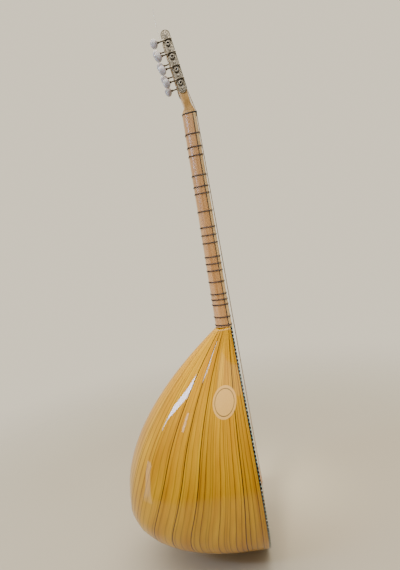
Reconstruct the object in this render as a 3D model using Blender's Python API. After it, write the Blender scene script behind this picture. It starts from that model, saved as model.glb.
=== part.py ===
"""Short-neck saz: a lute with a deep staved bowl, tied frets and open geared tuners.

Everything is modelled in the instrument's own frame and hung on one empty. In that frame
z = 0 is where the neck meets the body, +Z runs up the neck, the soundboard's face is y = 0,
+Y points to the back and X is the width. The empty then stands the instrument's bounding
box on the world origin.
"""

import math

import bmesh
import bpy
from mathutils import Matrix, Vector

MM = 0.001
GAP = 0.3 * MM  # between pieces that are glued or seated together
RUNNING_GAP = 0.3 * MM  # between pieces that move on each other
BORE_GAP = 0.4 * MM  # between a bore's facets and the shaft in it
STRING_GAP = 0.1 * MM

# Scale and frets
SCALE_LENGTH = 678 * MM
FRET_RATIOS = (
    20 / 19, 12 / 11, 19 / 17, 32 / 27, 27 / 22, 64 / 51, 4 / 3, 24 / 17, 16 / 11, 3 / 2,
    27 / 17, 18 / 11, 27 / 16, 16 / 9, 17 / 9, 35 / 18, 2, 15 / 7, 9 / 4,
)
FRET_WIDTH = 2.0 * MM
FRET_HEIGHT = 0.9 * MM
FRET_TRAVEL = 3.0 * MM  # each way
FRET_CORNER_STRETCH = 1.25
KNOT_HEIGHT = 2.0 * MM
KNOT_POINTS_PAST_BACK = 2

# Neck
NECK_PAST_LAST_FRET = 4.3 * MM
NECK_LENGTH = SCALE_LENGTH * (1 - 1 / FRET_RATIOS[-1]) + NECK_PAST_LAST_FRET
NECK_WIDTH_NUT = 28 * MM
NECK_WIDTH_BODY = 38 * MM
NECK_DEPTH_NUT = 24 * MM
NECK_DEPTH_BODY = 29 * MM
NECK_ROUNDNESS = 2.3
FINGERBOARD_THICKNESS = 4.8 * MM
VENEER_THICKNESS = 1.0 * MM
NUT_THICKNESS = 2.2 * MM
NUT_OVERHANG = 0.5 * MM
NOTCH_WIDTH = 1.0 * MM
NOTCH_RIM = 0.5 * MM

# Bowl and soundboard
BODY_LENGTH = 420 * MM
BODY_WIDTH = 250 * MM
BODY_DEPTH = 246 * MM
WIDEST_AT = 0.70  # share of the body's length
DEEPEST_AT = 0.724
SHOULDER_RISE_WIDTH = 100 * MM  # how fast the outline opens at the neck
SHOULDER_RISE_DEPTH = 584 * MM
ROUNDNESS_NECK_END = 1.9
ROUNDNESS_TAIL_END = 2.69
STAVES_PER_SIDE = 9  # beside the centre stave
RIM_STAVE = 0.05  # shares of the way from the rim to the centre line
STAVE_STEP = 0.0826
STAVE_GROWTH = 0.0019
SIDE_STAVE_COUNT = 5  # in each side run
RIDGE_ANGLE = 4  # degrees between two faces from which their edge stays sharp
WALL = 3.0 * MM
SOUNDBOARD_THICKNESS = 3.2 * MM
BINDING_WIDTH = 2.2 * MM
TAIL_OPENING_AT = 0.998
BRACE_AT = 0.42
BRACE_WIDTH = 6 * MM
BRACE_HEIGHT = 12 * MM
BRACE_END_GAP = 1.5 * MM
NECK_BLOCK_LENGTH = 48 * MM
TAIL_BLOCK_LENGTH = 14 * MM
TAIL_BLOCK_WIDTH = 32 * MM
TAIL_BLOCK_DEPTH = 34 * MM
SOUND_HOLE_DIAMETER = 12 * MM
SOUND_HOLE_Y = 15 * MM

# Bridge and string holder
BRIDGE_WIDTH = 66 * MM
BRIDGE_HEIGHT = 7.0 * MM
BRIDGE_FOOT = 6.0 * MM
BRIDGE_TOP = 2.0 * MM
HOLDER_WIDTH = 34 * MM
HOLDER_LENGTH = 6.0 * MM
HOLDER_FRONT = 3.6 * MM
HOLDER_BACK = 8.0 * MM
HOLDER_CORNER = 2.0 * MM
HOLDER_HOLE_DIAMETER = 1.6 * MM
BALL_DIAMETER = 2.08 * MM
BALL_LENGTH = 1.1 * MM

# Headstock
HEAD_TILT = math.radians(8.3)
HEAD_LENGTH = 142 * MM
HEAD_THICKNESS = 13.2 * MM
HEAD_WIDTH = 35 * MM
HEAD_MID_Y = 9.7 * MM  # its middle plane, where it crosses the nut
HEAD_END_CHAMFER = 3.0 * MM
THROAT_LENGTH = 31 * MM  # over which the neck's round section turns into the slab
SLOT_WIDTH = 9.0 * MM
SLOT_MIDDLE_X = 8.0 * MM
SLOT_START = 26 * MM
SLOT_END = 132 * MM

# Tuners
TUNER_COUNT = 4  # on each side
FIRST_TUNER = 51 * MM
TUNER_PITCH = 22.4 * MM
PLATE_THICKNESS = 1.0 * MM
PLATE_WIDTH = 15.6 * MM
PLATE_BELOW = 16.6 * MM
PLATE_ABOVE = 20.0 * MM
POST_SPACING = 13.8 * MM
POST_THICKNESS = 1.2 * MM
POST_HEIGHT = 4.8 * MM
POST_LENGTH = 4.6 * MM
GEAR_TEETH = 14
GEAR_TIP_RADIUS = 4.3 * MM
GEAR_ROOT_RADIUS = 3.45 * MM
GEAR_THICKNESS = 2.6 * MM
GEAR_TIP_WIDTH = 0.4 * MM
GEAR_RECESS_RADIUS = 1.9 * MM
GEAR_RECESS_DEPTH = 0.8 * MM
MESH_DEPTH = 0.6 * MM
WORM_RADIUS = 2.0 * MM
WORM_PITCH_RADIUS = 1.8 * MM
WORM_ROOT_RADIUS = 1.0 * MM
WORM_LENGTH = 10.0 * MM
SHAFT_RADIUS = 1.0 * MM
SHAFT_FRONT_END = 8.3 * MM
COLLAR_RADIUS = 2.0 * MM
COLLAR_LENGTH = 2.2 * MM
BUTTON_START = 17.0 * MM
BUTTON_LENGTH = 12.5 * MM
BUTTON_WIDTH = 17.0 * MM
BUTTON_THICKNESS = 7.6 * MM
ROLLER_RADIUS = 2.5 * MM
ROLLER_END_X = 1.0 * MM
WINDING_TURNS = 4
WINDING_PHASE = 0.25

# Strings: diameter, course, place in it, and the roller that takes it (side, number)
COURSE_SPACING_NUT = 9.0 * MM
COURSE_SPACING_BRIDGE = 17.0 * MM
PAIR_SPACING_NUT = 1.6 * MM
PAIR_SPACING_BRIDGE = 2.4 * MM
PLAIN_STRING = 0.25 * MM
WOUND_STRING = 0.55 * MM
STRING_OVER_NUT = 1.9 * MM
NEAR, FAR = -1, 1
STRINGS = (
    (PLAIN_STRING, -1, -1, NEAR, 1),
    (PLAIN_STRING, -1, 0, NEAR, 2),
    (WOUND_STRING, -1, 1, NEAR, 3),
    (PLAIN_STRING, 0, -0.5, NEAR, 4),
    (WOUND_STRING, 0, 0.5, FAR, 4),
    (PLAIN_STRING, 1, -0.5, FAR, 2),
    (WOUND_STRING, 1, 0.5, FAR, 1),
)
LOOSE_END_DIAMETER = 0.5 * MM

# Facets
NECK_POINTS = 10
ARC_STEPS = 48
SECTION_ROWS_SHOULDER = 12
SECTION_ROWS_TAIL = 9
TURNED_SIDES = 10

SIDE_NAMES = {NEAR: "near", FAR: "far"}
NUT_START = NECK_LENGTH + GAP
NUT_END = NUT_START + NUT_THICKNESS
VENEER_FRONT = FINGERBOARD_THICKNESS + GAP
NECK_FRONT = VENEER_FRONT + VENEER_THICKNESS + GAP
SHELL_TOP = SOUNDBOARD_THICKNESS + GAP
BRIDGE_Z = NECK_LENGTH - SCALE_LENGTH
HOLDER_Z = -BODY_LENGTH - GAP
HOLDER_STRING_Y = -HOLDER_FRONT / 2
WORM_OFFSET = GEAR_TIP_RADIUS + WORM_RADIUS - MESH_DEPTH
GEAR_PITCH_RADIUS = WORM_OFFSET - WORM_PITCH_RADIUS
WORM_LEAD = 2 * math.pi * GEAR_PITCH_RADIUS / GEAR_TEETH
PLATE_INNER_X = HEAD_WIDTH / 2 + GAP
PLATE_OUTER_X = PLATE_INNER_X + PLATE_THICKNESS
GEAR_MIDDLE_X = PLATE_OUTER_X + WORM_RADIUS + RUNNING_GAP
GEAR_INNER_X = GEAR_MIDDLE_X - GEAR_THICKNESS / 2


def clear_scene():
    for obj in list(bpy.data.objects):
        bpy.data.objects.remove(obj)


def material(name, color, roughness, metallic=0.0):
    found = bpy.data.materials.get(name)
    if found:
        return found
    made = bpy.data.materials.new(name)
    made.use_nodes = True
    shader = made.node_tree.nodes["Principled BSDF"]
    shader.inputs["Base Color"].default_value = (*color, 1)
    shader.inputs["Roughness"].default_value = roughness
    shader.inputs["Metallic"].default_value = metallic
    return made


def new_object(name, mesh_data, finish, parent, location=(0, 0, 0)):
    obj = bpy.data.objects.new(name, mesh_data)
    obj.data.materials.append(finish)
    obj.parent = parent
    obj.location = location
    bpy.context.scene.collection.objects.link(obj)
    return obj


def mesh_of(name, made):
    """A mesh from a bmesh, with its faces pointing out."""
    bmesh.ops.remove_doubles(made, verts=made.verts, dist=1e-7)
    bmesh.ops.recalc_face_normals(made, faces=made.faces)
    data = bpy.data.meshes.new(name)
    made.to_mesh(data)
    made.free()
    return data


def smooth(obj, angle=35):
    obj.data.shade_smooth()
    obj.data.set_sharp_from_angle(angle=math.radians(angle))


def skin(loops, name):
    """A closed mesh through loops of equal point counts, capped at both ends."""
    made = bmesh.new()
    rings = [[made.verts.new(point) for point in loop] for loop in loops]
    for low, high in zip(rings, rings[1:]):
        for i in range(len(low)):
            j = (i + 1) % len(low)
            made.faces.new((low[i], low[j], high[j], high[i]))
    made.faces.new(rings[0])
    made.faces.new(rings[-1])
    return mesh_of(name, made)


def boolean(obj, operation, cutter_data, name):
    """Cuts or joins a mesh that stays in the scene as a wire helper in the same frame."""
    helper = bpy.data.objects.new(name, cutter_data)
    helper.parent = obj.parent
    helper.location = obj.location
    helper.hide_render = True
    helper.display_type = "WIRE"
    bpy.context.scene.collection.objects.link(helper)
    modifier = obj.modifiers.new(name, "BOOLEAN")
    modifier.operation = operation
    modifier.object = helper


def add_box(made, low, high):
    size = Vector(high) - Vector(low)
    middle = (Vector(high) + Vector(low)) / 2
    shape = Matrix.Translation(middle) @ Matrix.Diagonal((*size, 1))
    return bmesh.ops.create_cube(made, size=1, matrix=shape)["verts"]


def round_edges_along(made, axis, radius):
    """Rounds the edges of a box that run along one axis."""
    edges = []
    for edge in made.edges:
        along = edge.verts[1].co - edge.verts[0].co
        if abs(along[axis]) > 0.9 * along.length:
            edges.append(edge)
    bmesh.ops.bevel(made, geom=edges, offset=radius, segments=2, affect="EDGES")


def add_cylinder(made, radius, start, end, sides=12):
    start, end = Vector(start), Vector(end)
    turn = (end - start).to_track_quat("Z", "Y").to_matrix().to_4x4()
    bmesh.ops.create_cone(
        made, cap_ends=True, segments=sides, radius1=radius, radius2=radius,
        depth=(end - start).length, matrix=Matrix.Translation((start + end) / 2) @ turn,
    )


def blend(a, b, share):
    return a + (b - a) * share


# Neck


def neck_half_width(z):
    return blend(NECK_WIDTH_BODY, NECK_WIDTH_NUT, z / NECK_LENGTH) / 2


def neck_depth(z):
    return blend(NECK_DEPTH_BODY, NECK_DEPTH_NUT, z / NECK_LENGTH)


def round_back(half_width, front, back, roundness, points):
    """(x, y) points from the front edge at +X round the back to the front edge at -X."""
    outline = []
    for i in range(points):
        angle = math.pi * i / (points - 1)
        across = math.cos(angle)
        x = math.copysign(abs(across) ** (2 / roundness), across) * half_width
        y = front + math.sin(angle) ** (2 / roundness) * (back - front)
        outline.append((x, y))
    return outline


def neck_section(z, front, offset=0.0):
    half, back = neck_half_width(z) + offset, neck_depth(z) + offset
    return round_back(half, front, back, NECK_ROUNDNESS, NECK_POINTS)


def slab_section(z, front, back):
    half = neck_half_width(z)
    return [(half, front), (half, back), (-half, back), (-half, front)]


def make_neck(parent, wood, dark, board):
    """The neck, a dark veneer and the fingerboard, one on the other."""
    layers = (
        ("neck", wood, lambda z: neck_section(z, NECK_FRONT)),
        ("neck_veneer", dark, lambda z: slab_section(z, VENEER_FRONT, NECK_FRONT - GAP)),
        ("fingerboard", board, lambda z: slab_section(z, 0, FINGERBOARD_THICKNESS)),
    )
    for name, finish, section in layers:
        loops = [[(x, y, z) for x, y in section(z)] for z in (GAP, NECK_LENGTH)]
        smooth(new_object(name, skin(loops, name), finish, parent))


def string_x(spacing, pair_spacing, course, place):
    return course * spacing + place * pair_spacing


def make_nut(parent, finish):
    """A black plate through the whole neck, with a notch for each string."""
    half = neck_half_width(NECK_LENGTH)
    back = neck_depth(NECK_LENGTH) + NUT_OVERHANG
    outline = round_back(half + NUT_OVERHANG, 0, back, NECK_ROUNDNESS, NECK_POINTS)
    top = -STRING_OVER_NUT - NOTCH_RIM
    notch = -STRING_OVER_NUT + WOUND_STRING / 2 + STRING_GAP
    wide, narrow = NOTCH_WIDTH / 2, 0.8 * NOTCH_WIDTH / 2
    front = [(-half, top)]
    for _, course, place, _, _ in STRINGS:
        x = string_x(COURSE_SPACING_NUT, PAIR_SPACING_NUT, course, place)
        front += [(x - wide, top), (x - narrow, notch), (x + narrow, notch), (x + wide, top)]
    front.append((half, top))
    loops = [[(x, y, z) for x, y in outline + front] for z in (NUT_START, NUT_END)]
    new_object("nut", skin(loops, "nut"), finish, parent)


def make_fret(number, parent, finish):
    """Turns of nylon line tied round the neck, as one band with its knot near the back."""
    z = NECK_LENGTH - SCALE_LENGTH * (1 - 1 / FRET_RATIOS[number - 1])
    widest = z - FRET_TRAVEL - FRET_WIDTH / 2
    half = neck_half_width(widest) + GAP
    path = [(half, -GAP)] + neck_section(widest, NECK_FRONT, GAP) + [(-half, -GAP)]
    middle = Vector((0, neck_depth(z) / 2, 0))
    knot = len(path) // 2 + KNOT_POINTS_PAST_BACK
    loops = []
    for i, (x, y) in enumerate(path):
        before, after = Vector(path[i - 1]), Vector(path[(i + 1) % len(path)])
        along = (after - before).normalized()
        out = Vector((along.y, -along.x, 0))
        if out.dot(Vector((x, y, 0)) - middle) < 0:
            out = -out
        inner = Vector((x, y, 0)) - middle
        height = KNOT_HEIGHT if i == knot else FRET_HEIGHT
        if i in (0, len(path) - 1):
            height *= FRET_CORNER_STRETCH
        half_band = FRET_WIDTH / 2
        loops.append([
            inner + Vector((0, 0, -half_band)),
            inner + out * height + Vector((0, 0, -half_band / 2)),
            inner + out * height + Vector((0, 0, half_band / 2)),
            inner + Vector((0, 0, half_band)),
        ])
    made = bmesh.new()
    rings = [[made.verts.new(point) for point in loop] for loop in loops]
    for i, ring in enumerate(rings):
        following = rings[(i + 1) % len(rings)]
        for j in range(len(ring)):
            k = (j + 1) % len(ring)
            made.faces.new((ring[j], ring[k], following[k], following[j]))
    name = f"fret_{number:02d}"
    smooth(new_object(name, mesh_of(name, made), finish, parent, (0, middle.y, z)))


# Bowl


def rise_and_round(share, start, slope, peak_at, peak):
    """A size along the body: it leaves the neck at a slope, peaks and closes as an ellipse."""
    if share < peak_at:
        a = share / peak_at
        from_start = start * (2 * a**3 - 3 * a**2 + 1)
        from_slope = slope * peak_at * (a**3 - 2 * a**2 + a)
        return from_start + from_slope + peak * (3 * a**2 - 2 * a**3)
    b = (share - peak_at) / (1 - peak_at)
    return peak * math.sqrt(max(0.0, 1 - b * b))


def body_half_width(share):
    start, peak = NECK_WIDTH_BODY / 2, BODY_WIDTH / 2
    return rise_and_round(share, start, SHOULDER_RISE_WIDTH, WIDEST_AT, peak)


def body_depth(share):
    start, peak = NECK_DEPTH_BODY, BODY_DEPTH
    return rise_and_round(share, start, SHOULDER_RISE_DEPTH, DEEPEST_AT, peak)


def body_shares(last):
    """Places along the body, closer together where it rounds to the tail."""
    rest = 1 - WIDEST_AT
    shoulder = [WIDEST_AT * i / SECTION_ROWS_SHOULDER for i in range(SECTION_ROWS_SHOULDER)]
    final = math.asin((last - WIDEST_AT) / rest)
    turns = [final * i / SECTION_ROWS_TAIL for i in range(SECTION_ROWS_TAIL + 1)]
    return shoulder + [WIDEST_AT + rest * math.sin(turn) for turn in turns]


def stave_joint(number):
    """Share of the way from the rim to the centre line at which stave joint `number` runs."""
    return RIM_STAVE + STAVE_STEP * number + STAVE_GROWTH * number * number


def shell_point(share, across, inset):
    """A point of the bowl: `across` is -1 at the near rim, 0 on the centre line and 1 at the far rim."""
    roundness = blend(ROUNDNESS_NECK_END, ROUNDNESS_TAIL_END, share)
    half = body_half_width(share) - inset
    depth = body_depth(share) - inset - SHELL_TOP
    way = [0.0]
    points = []
    for i in range(ARC_STEPS + 1):
        angle = math.pi / 2 * i / ARC_STEPS
        x, y = math.cos(angle) ** (2 / roundness), math.sin(angle) ** (2 / roundness)
        points.append(Vector((half * x, depth * y)))
        if i:
            way.append(way[-1] + (points[i] - points[i - 1]).length)
    target = (1 - abs(across)) * way[-1]
    i = next(k for k in range(1, ARC_STEPS + 1) if way[k] >= target - 1e-12)
    local = (target - way[i - 1]) / (way[i] - way[i - 1])
    x, y = points[i - 1].lerp(points[i], local)
    z = -share * (BODY_LENGTH - inset) - GAP / 2
    return Vector((math.copysign(x, across), y + SHELL_TOP, z))


def make_stave_run(name, edges, parent, finish):
    """Staves glued side by side: each is straight across, so that its joints stay as ridges."""
    loops = []
    for share in body_shares(TAIL_OPENING_AT):
        outer = [shell_point(share, edge, 0) for edge in edges]
        inner = [shell_point(share, edge, WALL) for edge in edges]
        loops.append(outer + inner[::-1])
    smooth(new_object(name, skin(loops, name), finish, parent), angle=RIDGE_ANGLE)


def make_bowl(parent, finish):
    joints = [1 - stave_joint(k) for k in range(STAVES_PER_SIDE + 1)]
    seam = GAP / (2 * BODY_DEPTH)
    side = [1.0] + joints[:SIDE_STAVE_COUNT]
    side[-1] += seam
    half_back = joints[SIDE_STAVE_COUNT - 1:]
    half_back[0] -= seam
    back = [-edge for edge in half_back] + half_back[::-1]
    make_stave_run("bowl_near_staves", [-edge for edge in side], parent, finish)
    make_stave_run("bowl_back_staves", back, parent, finish)
    make_stave_run("bowl_far_staves", side, parent, finish)


def board_outline(inset):
    """(x, z) points of the soundboard's edge, from the neck down the +X side and back up the -X side."""
    side = []
    for share in body_shares(1.0):
        x = max(body_half_width(share) - inset, 0.0)
        side.append((x, -share * (BODY_LENGTH - inset)))
    return side, [(-x, z) for x, z in side[-2::-1]]


def make_soundboard(parent, finish):
    right, left = board_outline(BINDING_WIDTH + GAP)
    top = -GAP / 2
    right[0] = (right[0][0], top)
    left[-1] = (left[-1][0], top)
    loops = [[(x, y, z) for x, z in right + left] for y in (0, SOUNDBOARD_THICKNESS)]
    new_object("soundboard", skin(loops, "soundboard"), finish, parent)


def make_binding(parent, finish):
    outer = sum(board_outline(0), [])
    inner = sum(board_outline(BINDING_WIDTH), [])
    loops = []
    for (x, z), (xi, zi) in zip(outer, inner):
        z, zi = min(z, -GAP / 2), min(zi, -GAP / 2)
        deep = SOUNDBOARD_THICKNESS
        loops.append([(x, 0, z), (xi, 0, zi), (xi, deep, zi), (x, deep, z)])
    new_object("edge_binding", skin(loops, "edge_binding"), finish, parent)


def block_section(share, inset, width_limit, depth_limit):
    """A section of the space inside the bowl, no wider or deeper than the limits."""
    half = min(body_half_width(share) - inset, width_limit / 2)
    depth = min(body_depth(share) - inset, depth_limit)
    roundness = blend(ROUNDNESS_NECK_END, ROUNDNESS_TAIL_END, share)
    z = -share * (BODY_LENGTH - inset) - GAP / 2
    return [(x, y, z) for x, y in round_back(half, SHELL_TOP, depth, roundness, NECK_POINTS)]


def make_blocks(parent, finish):
    inset = WALL + 3 * GAP
    last = NECK_BLOCK_LENGTH / BODY_LENGTH
    rows = [block_section(last * i / 3, inset, BODY_WIDTH, BODY_DEPTH) for i in range(4)]
    smooth(new_object("neck_block", skin(rows, "neck_block"), finish, parent))
    first = TAIL_OPENING_AT - TAIL_BLOCK_LENGTH / BODY_LENGTH
    shares = [first, blend(first, TAIL_OPENING_AT, 0.8), TAIL_OPENING_AT]
    inset = WALL + GAP
    rows = [block_section(share, inset, TAIL_BLOCK_WIDTH, TAIL_BLOCK_DEPTH) for share in shares]
    end = -TAIL_OPENING_AT * BODY_LENGTH
    rows.append([(x, y, end) for x, y, _ in rows[-1]])
    block = new_object("tail_block", skin(rows, "tail_block"), finish, parent)
    cutter = bmesh.new()
    low = (0, SOUND_HOLE_Y, end - TAIL_BLOCK_LENGTH)
    high = (0, SOUND_HOLE_Y, end + 2 * TAIL_BLOCK_LENGTH)
    add_cylinder(cutter, SOUND_HOLE_DIAMETER / 2, low, high, 16)
    boolean(block, "DIFFERENCE", mesh_of("sound_hole", cutter), "sound_hole")


def make_brace(parent, finish):
    z = -BRACE_AT * BODY_LENGTH
    reach = body_half_width(BRACE_AT) - WALL - BRACE_END_GAP
    low, high = SHELL_TOP, SHELL_TOP + BRACE_HEIGHT
    profile = [(-reach, low), (reach, low), (reach * 0.93, (low + high) / 2), (reach * 0.7, high)]
    profile += [(-x, y) for x, y in profile[:1:-1]]
    half = BRACE_WIDTH / 2
    loops = [[(x, y, z + dz) for x, y in profile] for dz in (-half, half)]
    new_object("soundboard_brace", skin(loops, "soundboard_brace"), finish, parent)


def make_bridge(parent, finish):
    """A loose bridge on two feet, thinner at its top."""
    half = BRIDGE_WIDTH / 2
    top = BRIDGE_HEIGHT + GAP
    outer = [(half, GAP), (half * 0.98, 0.35 * top), (half * 0.86, top)]
    arch = [(half * 0.62, 0.45 * top), (half * 0.72, GAP)]
    outline = outer + [(-x, y) for x, y in outer[::-1] + arch[::-1]] + arch
    loops = []
    for side in (-1, 1):
        loop = []
        for x, y in outline:
            thickness = blend(BRIDGE_FOOT, BRIDGE_TOP, y / top)
            loop.append((x, -y, BRIDGE_Z + side * thickness / 2))
        loops.append(loop)
    new_object("bridge", skin(loops, "bridge"), finish, parent)


def make_string_holder(parent, finish):
    low = (-HOLDER_WIDTH / 2, -HOLDER_FRONT, HOLDER_Z - HOLDER_LENGTH)
    made = bmesh.new()
    add_box(made, low, (HOLDER_WIDTH / 2, HOLDER_BACK, HOLDER_Z))
    round_edges_along(made, 2, HOLDER_CORNER)
    holder = new_object("tail_piece", mesh_of("tail_piece", made), finish, parent)
    cutter = bmesh.new()
    for _, course, place, _, _ in STRINGS:
        x = string_x(HOLDER_WIDTH / 3, PAIR_SPACING_BRIDGE, course, place)
        start = (x, HOLDER_STRING_Y, HOLDER_Z + HOLDER_LENGTH)
        end = (x, HOLDER_STRING_Y, HOLDER_Z - 2 * HOLDER_LENGTH)
        add_cylinder(cutter, HOLDER_HOLE_DIAMETER / 2, start, end, 6)
    boolean(holder, "DIFFERENCE", mesh_of("string_holes", cutter), "string_holes")


# Headstock


def head_to_neck(y, s):
    """A point of the headstock's tilted frame, as (y, z) in the neck's."""
    return (
        HEAD_MID_Y + y * math.cos(HEAD_TILT) + s * math.sin(HEAD_TILT),
        NECK_LENGTH - y * math.sin(HEAD_TILT) + s * math.cos(HEAD_TILT),
    )


def neck_to_head(y, z):
    dy, dz = y - HEAD_MID_Y, z - NECK_LENGTH
    return (
        dy * math.cos(HEAD_TILT) - dz * math.sin(HEAD_TILT),
        dy * math.sin(HEAD_TILT) + dz * math.cos(HEAD_TILT),
    )


def head_loop(front, back, half_width, squareness):
    """A ring between a front and a back (y, s) point, round-backed at 0 and square at 1."""
    half = []
    for degrees, square in ((0, (1, 0)), (25, (1, 0.5)), (50, (1, 0.86)), (72, (0.9, 1))):
        angle = math.radians(degrees)
        x, v = math.cos(angle) ** (2 / NECK_ROUNDNESS), math.sin(angle) ** (2 / NECK_ROUNDNESS)
        half.append((blend(x, square[0], squareness), blend(v, square[1], squareness)))
    ring = []
    for x, v in half + [(-x, v) for x, v in half[::-1]]:
        ring.append((x * half_width, blend(front[0], back[0], v), blend(front[1], back[1], v)))
    return ring


def make_headstock(frame, finish):
    """A slotted headstock that grows out of the neck's round section into a flat slab."""
    start = NUT_END + GAP
    half_t = HEAD_THICKNESS / 2
    narrow, wide = NECK_WIDTH_NUT / 2, HEAD_WIDTH / 2
    deep = NECK_DEPTH_NUT
    rows = []
    # Where the throat leaves the nut: places along the neck and depths at its front and back
    for front_y, front_z, back_y, back_z, square in (
        (GAP, 0, deep, 0, 0),
        (0.9 * MM, 2.5 * MM, deep - 1.4 * MM, 3.5 * MM, 0),
        (3.2 * MM, 8 * MM, deep - 5 * MM, 8.5 * MM, 0.2),
    ):
        front = neck_to_head(front_y, start + front_z)
        back = neck_to_head(back_y, start + back_z)
        rows.append(head_loop(front, back, narrow, square))
    # Where it widens into the slab: places along the headstock at its front and back
    for front_s, back_s, widening, square in (
        (0.55 * THROAT_LENGTH, 0.48 * THROAT_LENGTH, 0.25, 0.5),
        (0.77 * THROAT_LENGTH, 0.77 * THROAT_LENGTH, 0.75, 0.85),
        (THROAT_LENGTH, THROAT_LENGTH, 1, 1),
        (HEAD_LENGTH - HEAD_END_CHAMFER, HEAD_LENGTH - HEAD_END_CHAMFER, 1, 1),
    ):
        half_width = blend(narrow, wide, widening)
        rows.append(head_loop((-half_t, front_s), (half_t, back_s), half_width, square))
    end = half_t - HEAD_END_CHAMFER / 2
    rows.append(head_loop((-end, HEAD_LENGTH), (end, HEAD_LENGTH), wide - HEAD_END_CHAMFER, 1))
    head = new_object("headstock", skin(rows, "headstock"), finish, frame)
    smooth(head)
    slots = bmesh.new()
    for side in (NEAR, FAR):
        middle = side * SLOT_MIDDLE_X
        add_box(
            slots, (middle - SLOT_WIDTH / 2, -HEAD_THICKNESS, SLOT_START),
            (middle + SLOT_WIDTH / 2, HEAD_THICKNESS, SLOT_END),
        )
    round_edges_along(slots, 1, SLOT_WIDTH * 0.4)
    boolean(head, "DIFFERENCE", mesh_of("slots", slots), "slots")
    bores = bmesh.new()
    for number in range(TUNER_COUNT):
        start, end = (-HEAD_WIDTH, 0, tuner_s(number)), (HEAD_WIDTH, 0, tuner_s(number))
        add_cylinder(bores, ROLLER_RADIUS + BORE_GAP, start, end)
    boolean(head, "DIFFERENCE", mesh_of("roller_bores", bores), "roller_bores")


# Tuners


def tuner_s(number):
    return FIRST_TUNER + TUNER_PITCH * number


def make_plate(side, frame, finish):
    """A round-ended plate with two folded posts for each worm shaft."""
    radius = PLATE_WIDTH / 2
    low = tuner_s(0) - PLATE_BELOW
    high = tuner_s(TUNER_COUNT - 1) + PLATE_ABOVE
    outline = []
    for middle, first in ((high - radius, 0), (low + radius, math.pi)):
        for i in range(7):
            angle = first + math.pi * i / 6
            outline.append((radius * math.cos(angle), middle + radius * math.sin(angle)))
    loops = [[(side * x, y, s) for y, s in outline] for x in (PLATE_INNER_X, PLATE_OUTER_X)]
    name = f"tuner_plate_{SIDE_NAMES[side]}"
    plate = new_object(name, skin(loops, name), finish, frame)
    posts = bmesh.new()
    holes = bmesh.new()
    inside_plate = side * (PLATE_INNER_X + PLATE_THICKNESS / 3)
    low_x, high_x = sorted((inside_plate, side * (PLATE_OUTER_X + POST_HEIGHT)))
    half_t, half_l = POST_THICKNESS / 2, POST_LENGTH / 2
    x = side * GEAR_MIDDLE_X
    for number in range(TUNER_COUNT):
        s = tuner_s(number)
        worm_s = s + WORM_OFFSET
        for y in (-POST_SPACING / 2, POST_SPACING / 2):
            low, high = (low_x, y - half_t, worm_s - half_l), (high_x, y + half_t, worm_s + half_l)
            add_box(posts, low, high)
        start, end = (x, -POST_SPACING, worm_s), (x, POST_SPACING, worm_s)
        add_cylinder(holes, SHAFT_RADIUS + BORE_GAP, start, end, 8)
        start, end = (side * PLATE_INNER_X / 2, 0, s), (side * (PLATE_OUTER_X + GAP), 0, s)
        add_cylinder(holes, ROLLER_RADIUS + BORE_GAP, start, end)
    boolean(plate, "UNION", mesh_of("posts", posts), "posts")
    boolean(plate, "DIFFERENCE", mesh_of("tuner_holes", holes), "tuner_holes")


def ring_along(axis_point, radius_a, radius_b, turn):
    """A ring of points round an axis. `turn` places a distance along the axis and two across it."""
    ring = []
    for j in range(TURNED_SIDES):
        angle = 2 * math.pi * j / TURNED_SIDES
        ring.append(turn(axis_point, radius_a * math.cos(angle), radius_b * math.sin(angle)))
    return ring


def thread_rows(made, start, end, lead, root, crest, phase, turn):
    """Vertices of a V thread: its rows alternate between crest and root and climb a lead a turn."""
    turns = (end - start) / lead
    rows = []
    for i in range(-4, 2 * (math.ceil(turns) + 3)):
        row = []
        for j in range(TURNED_SIDES):
            along = start + lead * (i / 2 + j / TURNED_SIDES + phase)
            radius = crest if i % 2 == 0 else root
            if along <= start or along >= end:
                along = min(max(along, start), end)
                radius = root
            angle = 2 * math.pi * j / TURNED_SIDES
            row.append(made.verts.new(turn(along, radius * math.cos(angle), radius * math.sin(angle))))
        rows.append(row)
    return rows


def add_thread_faces(made, rows):
    for i in range(len(rows) - 1):
        for j in range(TURNED_SIDES):
            if j < TURNED_SIDES - 1:
                corners = (rows[i][j], rows[i][j + 1], rows[i + 1][j + 1], rows[i + 1][j])
            elif i + 3 < len(rows):
                corners = (rows[i][j], rows[i + 2][0], rows[i + 3][0], rows[i + 1][j])
            else:
                continue
            made.faces.new(corners)


def turned_with_thread(name, before, thread, after, turn):
    """A turned bar: (place, radius, radius) stations before and after a threaded stretch."""
    start, end, lead, root, crest, phase = thread
    made = bmesh.new()
    rows = thread_rows(made, start, end, lead, root, crest, phase, turn)
    add_thread_faces(made, rows)
    for stations, place in ((before, start), (after, end)):
        rings = [
            [made.verts.new(point) for point in ring_along(station[0], station[1], station[2], turn)]
            for station in stations
        ]
        root_ring = [made.verts.new(point) for point in ring_along(place, root, root, turn)]
        chain = rings + [root_ring] if place == start else [root_ring] + rings
        for low, high in zip(chain, chain[1:]):
            for j in range(TURNED_SIDES):
                k = (j + 1) % TURNED_SIDES
                made.faces.new((low[j], low[k], high[k], high[j]))
        made.faces.new(chain[0] if place == start else chain[-1])
    bmesh.ops.remove_doubles(made, verts=made.verts, dist=1e-7)
    bmesh.ops.dissolve_degenerate(made, edges=made.edges, dist=1e-8)
    return mesh_of(name, made)


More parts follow.
